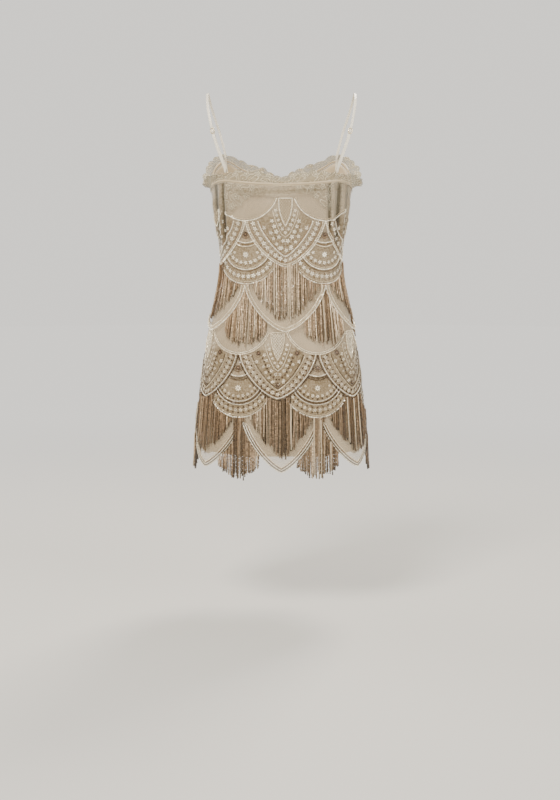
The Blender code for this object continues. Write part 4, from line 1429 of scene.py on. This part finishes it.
def roots(side, number, layer):
    """Across, height and length of each strand of one layer of a tier.

    The strands of shields and sides of fans start at their lower edges and end above the lower curve. A bunch
    hangs from the lower curve round its notch, and from the fan's edge in its middle.
    """
    found = []
    top, shift = TIER_TOPS[number], TIER_SHIFTS[number] * side
    for kind, start, reach, pitch in (("shield", 0.0, SHIELD_REACH, STRAND_PITCH),
                                      ("fan", REPEAT / 2, FAN_REACH, STRAND_PITCH),
                                      ("bunch", REPEAT / 2, BUNCH_REACH, BUNCH_PITCH)):
        u = np.arange(-reach + layer * pitch / 2, reach, pitch)
        u = u + 0.16 * pitch * np.sin(u * 1.9 + layer)
        across = shift + start + REPEAT * np.arange(-3, 3)[:, None] + u[None]
        if kind == "shield":
            v = SHIELD_DEEP * (1 - (np.abs(u) / (REPEAT / 2)) ** SHIELD_ROUND) ** (1 / SHIELD_ROUND)
        else:
            v = FAN_DEEP - FAN_RADIUS + np.sqrt(FAN_RADIUS**2 - u**2)
        height = np.broadcast_to(top - v - 0.5, across.shape)
        curve = lower_curve(side, number, across)
        if kind == "bunch":
            height = np.where(np.abs(u) < BUNCH_MIDDLE, height, np.minimum(height, curve - 0.5))
            tip = top - BUNCH_TIP + BUNCH_ROUND * (np.abs(u / BUNCH_REACH) ** 1.5)
            long = height - tip
        else:
            beside = [lower_curve(side, number, across + step * BARE_BESIDE[number]) for step in (-1, 1)]
            long = height - np.maximum(*beside) - BARE_BELOW[number]
        inside = (np.abs(across) < seam(side, height) - 4) & (long > 5)
        found.append(np.stack([grid[inside] for grid in (across, height, long)]))
    return np.concatenate(found, axis=1)


def hang(side, across, height, down, turn, depth, sway):
    """Where a bead is that hangs a distance below its root, at a depth over the cloth."""
    here = height - down
    spread = turn * (seam(side, here) - seam(side, height))
    return cloth(side, across + spread + sway, here, depth)


def strands(side, strand, long, depth, shape, pitch, sizes, tones, light_range, rng):
    """Strands of one kind. strand holds the across, height and slope of each.

    pitch is from bead to bead, and light_range is how much lighter or darker than its strand a bead can be.
    """
    across, height, turn = (row[:, None] for row in strand)
    down = (np.arange(int(long.max() / pitch)) + 0.5) * pitch
    down = down[None] + rng.uniform(-0.4, 0.4, (len(long), 1)) * pitch
    stray = rng.uniform(0, 1, (len(long), 1)) < STRAY_SHARE
    lean = rng.normal(0, 1.0, (len(long), 1)) * np.where(stray, 5.0, 0.8)
    wave = rng.uniform(0, 6.3, (len(long), 1))
    share = down / long[:, None]
    sway = lean * share + 0.5 * np.sin(share * 5 + wave) * share
    lift = depth[:, None] + 0.7 * np.sin(share * 4 + wave * 1.7) * share
    centre = hang(side, across, height, down, turn, lift, sway)
    below = hang(side, across, height, down + 1, turn, lift, sway)
    keep = (down > 0) & (share < 1)
    normal = on_form(side, across + 0 * down, height - down)[1]
    count = int(keep.sum())
    tilt = rng.normal(0, 0.16, (count, 3))
    light = 1 + rng.uniform(-light_range, light_range, (count, 1))
    light *= 1 - TIP_SHADE * (share[keep] ** 3)[:, None]
    tone = np.repeat(tones[:, None], down.shape[1], axis=1)[keep] * light
    grown = np.array(sizes)[None] * (1 + rng.uniform(-0.07, 0.07, (count, 1)))
    return strew(shape, centre[keep], (below - centre)[keep], normal[keep] + tilt, grown, tone)


def slope_turn(side, across, height):
    """How much of the cloth's growth in width a strand follows: none at the centre line, all at the seam."""
    normal = on_form(side, across, height)[1]
    return np.arctan2(normal[:, 0], np.abs(normal[:, 1])) / (math.pi / 2)


TIER_TONES = (
    # tones that follow each other across the tier, from pale to deep
    (tint(216, 194, 162), tint(194, 169, 137), tint(173, 147, 116), tint(154, 128, 99), tint(126, 102, 75)),
    (tint(198, 176, 146), tint(162, 138, 110), tint(134, 111, 85), tint(112, 92, 68), tint(84, 67, 49)),
)
BRIGHT, TIP_SHADE, BACK_LAYER, STRAY_SHARE = tint(224, 205, 174), 0.46, 0.5, 0.07
EDGE_SHIFT = (0.0, -0.05, -0.11)
KIND_SHARES = (
    # bugles, sequins and long bugles in the back layer, and in the front layer of each tier
    (0.58, 0.42, 0.0), (0.5, 0.37, 0.13), (0.38, 0.54, 0.08),
)
FANS = (2, 4)


def strand_tones(side, number, across, rng):
    """Tones that drift slowly across the tier, with a step of chance from one strand to the next."""
    edge = ease(np.abs(across + 10 * side), 60, 130)
    drift = 0.35 + 0.12 * number * (1 - edge) + 0.24 * edge - 0.05 * across * side / 100
    drift = drift + 0.14 * np.sin(across / 17 + 2.4 * number) + 0.10 * np.sin(across / 7.3 + 1.0)
    tones = np.array(TIER_TONES[number])
    place = np.clip(drift + rng.normal(0, 0.24, len(across)), 0, 1) * (len(tones) - 1)
    found = np.stack([np.interp(place, np.arange(len(tones)), row) for row in tones.T], axis=1)
    return found * (1 + edge[:, None] * np.array(EDGE_SHIFT))


def strand_rows(number):
    """The rows of beads that make up each kind of strand in a tier.

    A row says its shape, its pitch, its sizes, how much it has of its strand's tone and of the bright one,
    how far out it lies, and how much its light changes.
    """
    bugle, sequin = ((2.1, 2.9), (2.6, 3.6))[number]
    return (
        ((BUGLE, 8.0, (7.2, bugle, 2.1), 1.0, 0.0, 0.0, 0.2),
         (BEAD, 8.0, (2.1, 2.1, 2.1), 0.7, 0.0, 0.0, 0.2)),
        ((SEQUIN, 2.9, (3.3, sequin, 0.5), 1.15, 0.0, 0.0, 0.45),),
        ((BUGLE, 11.4, (11.0, 3.0, 2.6), 0.25, 0.75, 0.5, 0.08),),
    )


for side, word in SIDES:
    for number in (0, 1):
        rng = np.random.default_rng(17 + 10 * number + side)
        parts = []
        for layer in (0, 1):
            across, height, long = roots(side, number, layer)
            count = len(across)
            strand = np.stack([across, height, slope_turn(side, across, height)])
            long = long * rng.uniform(0.88, 1.03, count)
            depth = 3.0 + 1.7 * layer + rng.uniform(-0.3, 0.5, count)
            tones = strand_tones(side, number, across, rng) * (BACK_LAYER if layer == 0 else 1.0)
            kind = rng.choice(3, count, p=KIND_SHARES[layer * (number + 1)])
            for wanted, rows in enumerate(strand_rows(number)):
                chosen = kind == wanted
                if not chosen.any():
                    continue
                for shape, pitch, sizes, own, bright, nearer, light_range in rows:
                    tone = own * tones[chosen] + bright * np.array(BRIGHT)
                    parts.append(strands(side, strand[:, chosen], long[chosen], depth[chosen] + nearer, shape,
                                         pitch, sizes, tone, light_range, rng))
        tier = f"tier{number + 1}_{word}"
        nodes = [f"{tier}_shield_{k}" for k in (1, 2, 3)]
        nodes += [f"{tier}_fan_{k + 1}" for k in range(FANS[number])]
        add_heap(f"{tier}_fringe", parts, FRINGE_BEADS, nodes)

# %% [markdown]
# ## Straps
#
# A strap is a narrow tube of satin, turned and pressed flat. It comes from behind the front peak, runs over
# the shoulder, through the slider and round the ring, and its end comes back up to the slider's middle bar.
# The route is a smooth curve through a few points, and a rounded section is carried along it.

# %% The route of a strap
STRAP_ROUTE = (
    # sideways, depth, height
    (111.5, 77.0, -150.0), (119.5, 79.5, -128.0), (129.0, 77.5, -101.0), (135.0, 73.0, -79.0),
    (141.0, 63.0, -52.0), (145.5, 45.0, -26.0), (147.3, 23.0, -6.5), (147.5, 0.0, 0.5),
    (146.3, -20.0, -6.0), (142.0, -36.0, -24.0), (135.0, -48.0, -47.0), (126.0, -58.0, -75.0),
)
STRAP_WIDE, STRAP_THICK, FIT = 5.0, 1.0, 0.35
SLIDER_ROW, SLIDER_LONG, SLIDER_WIDE, SLIDER_BAR = 3, 11.0, 9.0, 1.2
SLIDER_CLEAR, RUNS_CLOSE = 3.0, 0.3
INSIDE, STRAP_END, PEAK_SHARE = -4.5, 16.0, 0.6
RING_SHARE, RING_HEIGHT, RING_OUT = 0.575, -163.5, -5.4
RING_RADIUS, RING_STEPS, WIRE_RADIUS, LOOP_RADIUS = 5.5, 48, 0.7, 2.35
STEPS = 6


def smooth_route(rows):
    """Points on the curve that passes through all rows, with even steps between each pair."""
    rows = np.concatenate([2 * rows[:1] - rows[1:2], rows, 2 * rows[-1:] - rows[-2:-1]])
    a, b, c, d = (rows[k:len(rows) - 3 + k][:, None] for k in range(4))
    t = (np.arange(STEPS) / STEPS)[None, :, None]
    route = 0.5 * (2 * b + (c - a) * t + (2 * a - 5 * b + 4 * c - d) * t**2 + (3 * b - 3 * c + d - a) * t**3)
    return np.concatenate([route.reshape(-1, 3), rows[-2:-1]])


def shoulder_out(points, hand):
    """The outward direction on the shoulder: sideways, and forward or back as the body slopes."""
    drop = (points[:, 2] + 130) / 130
    return unit(np.stack([np.full(len(points), 0.38 * hand), points[:, 1] / 85, drop], axis=1))


class Place:
    """A point on a strap with directions along it, out from the body and across it."""

    def __init__(self, centre, along, out):
        self.centre, self.along = centre, unit(along)
        self.out = unit(out - self.along * np.dot(out, self.along))
        self.across = np.cross(self.along, self.out)

    def at(self, along, out, across=0.0):
        return self.centre + self.along * along + self.out * out + self.across * across


def ring_places(hand):
    """The ring's middle, once facing up its tab and once facing up its strap."""
    across = hand * RING_SHARE * seam(BACK, RING_HEIGHT)
    centre = level_out(BACK, across, RING_HEIGHT, RING_OUT)
    below = level_out(BACK, across, RING_HEIGHT - STRAP_END, RING_OUT)
    above = np.array(STRAP_ROUTE[0]) * (hand, 1, 1)
    tab = Place(centre, centre - below, level_out(BACK, across, RING_HEIGHT, 0) - centre)
    along = above - centre
    return tab, Place(centre, along - tab.out * np.dot(along, tab.out), tab.out)


def half_turn(ring, up):
    """A strap's half turn round the wire, above the ring's middle or below it."""
    angle = np.linspace(0, math.pi, 11)[:, None]
    facing = ring.out * np.cos(angle) - ring.along * np.sin(angle) * up
    return ring.at(up * RING_RADIUS, 0) + facing * LOOP_RADIUS, facing


def ribbon(points, facings):
    """Rings of a strap with rounded edges, twelve points each."""
    along = unit(np.gradient(points, axis=0))
    out = unit(facings - along * np.einsum("ni,ni->n", facings, along)[:, None])
    beside = np.cross(along, out)
    section = rounded(STRAP_WIDE, -STRAP_THICK / 2, STRAP_THICK / 2)
    return points[:, None] + beside[:, None] * section[None, :, :1] + out[:, None] * section[None, :, 1:]


def strap_uv(rings):
    """Across and along the strap for each point of its rings."""
    turn, length = np.linspace(-STRAP_WIDE, STRAP_WIDE, rings.shape[1]), run(rings.mean(1))[:, None]
    return cloth_uv(turn + 0 * length, 0 * turn - length, 1)


def rod(line, outward, out, radius, corners):
    """Rings of a round rod along a line, from the directions outward and out square to it."""
    turn = full_turn(corners)[None, :, None]
    return line[:, None] + radius * np.cos(turn) * outward[:, None] + radius * np.sin(turn) * out


SLIDERS = {}
for hand, word in ((1, "left"), (-1, "right")):
    rows = np.array(STRAP_ROUTE) * (hand, 1, 1)
    peak = top_edge(FRONT, np.array(PEAK_SHARE))
    across = hand * PEAK_SHARE * seam(FRONT, peak)
    inner_rows = [level_out(FRONT, across, peak + rise, INSIDE) for rise in (STRAP_END, 0, -STRAP_END)]
    route = smooth_route(np.concatenate([rows, inner_rows]))
    facings = shoulder_out(route, hand)
    facings[-2 * STEPS:] = level_out(FRONT, across, peak, 1) - level_out(FRONT, across, peak, 0)
    middle = SLIDER_ROW * STEPS
    slider = SLIDERS[word] = Place(route[middle], route[middle + 1] - route[middle - 1], facings[middle])
    clear = SLIDER_LONG / 2 + SLIDER_CLEAR
    number = np.arange(len(route))
    lower = number[(number < middle) & ((route - slider.centre) @ slider.along < -clear)]
    upper = number[(number >= middle) & (np.linalg.norm(route - slider.centre, axis=1) > clear)]
    stand = SLIDER_BAR / 2 + FIT + STRAP_THICK / 2
    near, far = SLIDER_BAR, (SLIDER_LONG - SLIDER_BAR) / 2
    woven = np.array([slider.at(along, out * stand) for along, out in (
        (far + near, -1), (far - near, -1), (near, 1), (-near, 1), (-far + near, -1), (-far - near, -1))])
    turn, turn_out = half_turn(ring_places(hand)[1], 1)
    share = (lower / middle)[:, None]
    returned = route[lower] - facings[lower] * 2 * LOOP_RADIUS * (1 - RUNS_CLOSE * share)
    last = slider.at(0, -SLIDER_BAR / 2 - STRAP_THICK * 1.5 - 3 * FIT)
    points = np.concatenate([route[upper[::-1]], woven, route[lower[::-1]], turn, returned, last[None]])
    outs = np.concatenate([facings[upper[::-1]], np.repeat(slider.out[None], 6, axis=0), facings[lower[::-1]],
                           turn_out, -facings[lower], -slider.out[None]])
    rings = ribbon(points, outs)
    add_piece(f"strap_{word}_satin", *tube(rings), STRAP_SATIN, "strap_satin", [f"strap_{word}"],
              strap_uv(rings))

    ring = ring_places(hand)[0]
    turn, turn_out = half_turn(ring, -1)
    edge = top_edge(BACK, np.array(RING_SHARE))
    across = hand * RING_SHARE * seam(BACK, RING_HEIGHT)
    rises = np.linspace(-STRAP_END, BINDING_TALL + SEAM_GAP, 5)
    down = [level_out(BACK, across, edge + rise, INSIDE) for rise in rises]
    up = [level_out(BACK, across, edge + rise, INSIDE - STRAP_THICK - FIT) for rise in rises[::-1]]
    outs = np.concatenate([[ring.out] * 5, turn_out, [-ring.out] * 5])
    rings = ribbon(np.concatenate([down, turn, up]), outs)
    add_piece(f"strap_tab_{word}_satin", *tube(rings), STRAP_SATIN, "strap_satin", [f"strap_tab_{word}"],
              strap_uv(rings))

    angle = full_turn(RING_STEPS)[:, None]
    outward = np.cos(angle) * ring.along + np.sin(angle) * ring.across
    wire = rod(ring.centre + RING_RADIUS * outward, outward, ring.out, WIRE_RADIUS, 12)
    add_piece(f"ring_{word}", *tube(wire, closed=True), METAL, "metal", [f"strap_ring_{word}"])

# %% [markdown]
# ## Sliders
#
# A slider is a flat frame with a bar across its middle, cast in one piece. Its outline is a rounded
# rectangle. The frame and the bar are rods with a round section, so that they take a line of light as
# polished metal does.

# %% Sliders
SLIDER_STEPS, SLIDER_ROUND, SLIDER_CORNERS, BAR_SHARE = 64, 2 / 6, 10, 0.96
for word, slider in SLIDERS.items():
    angle = full_turn(SLIDER_STEPS)
    half_long, half_wide = (SLIDER_LONG - SLIDER_BAR) / 2, (SLIDER_WIDE - SLIDER_BAR) / 2
    u = half_long * signed_power(np.cos(angle), SLIDER_ROUND)
    w = half_wide * signed_power(np.sin(angle), SLIDER_ROUND)
    line = slider.centre + u[:, None] * slider.along + w[:, None] * slider.across
    along = unit(np.roll(line, -1, axis=0) - np.roll(line, 1, axis=0))
    rim = rod(line, np.cross(along, slider.out), slider.out, SLIDER_BAR / 2, SLIDER_CORNERS)
    ends = np.linspace(-half_wide, half_wide, 7)[:, None]
    bar = rod(slider.centre + ends * slider.across, np.repeat(slider.along[None], len(ends), axis=0),
              slider.out, SLIDER_BAR / 2 * BAR_SHARE, SLIDER_CORNERS)
    points, faces, _ = join([(p, f, 0 * p) for p, f in (tube(rim, closed=True), tube(bar))])
    add_piece(f"slider_{word}", points, faces, METAL, "metal", [f"strap_slider_{word}"])

# %% [markdown]
# ## The cloth's cut
#
# The size that each sheet was cut to before it was sewn follows from the same edges and seams that shaped
# the panels. The sums are worked out here, but nothing keeps them.

# %% Sheets of cloth
GATHER = 1.02


for side, word in SIDES:
    cut_area(side, slip_top, slip_hem)
    cut_area(side, top_edge, scalloped_hem)
    shares = np.linspace(-1, 1, BINDING_COLUMNS)
    tall, _, fall = lace_at(side, shares)
    across = shares * seam(side, top_edge(side, shares))
    for kind, deep in (("standing", tall), ("falling", fall)):
        size = np.trapz(deep, across) * MM * MM, np.ptp(across) * MM * GATHER, deep.max() * MM

# %% [markdown]
# ## Finish
#
# The dressed model must stay the size of the imported one. Here the triangles of all the pieces are counted.

# %% Sizes
print(sum(TOTAL.values()), "triangles in", len(TOTAL), "pieces")
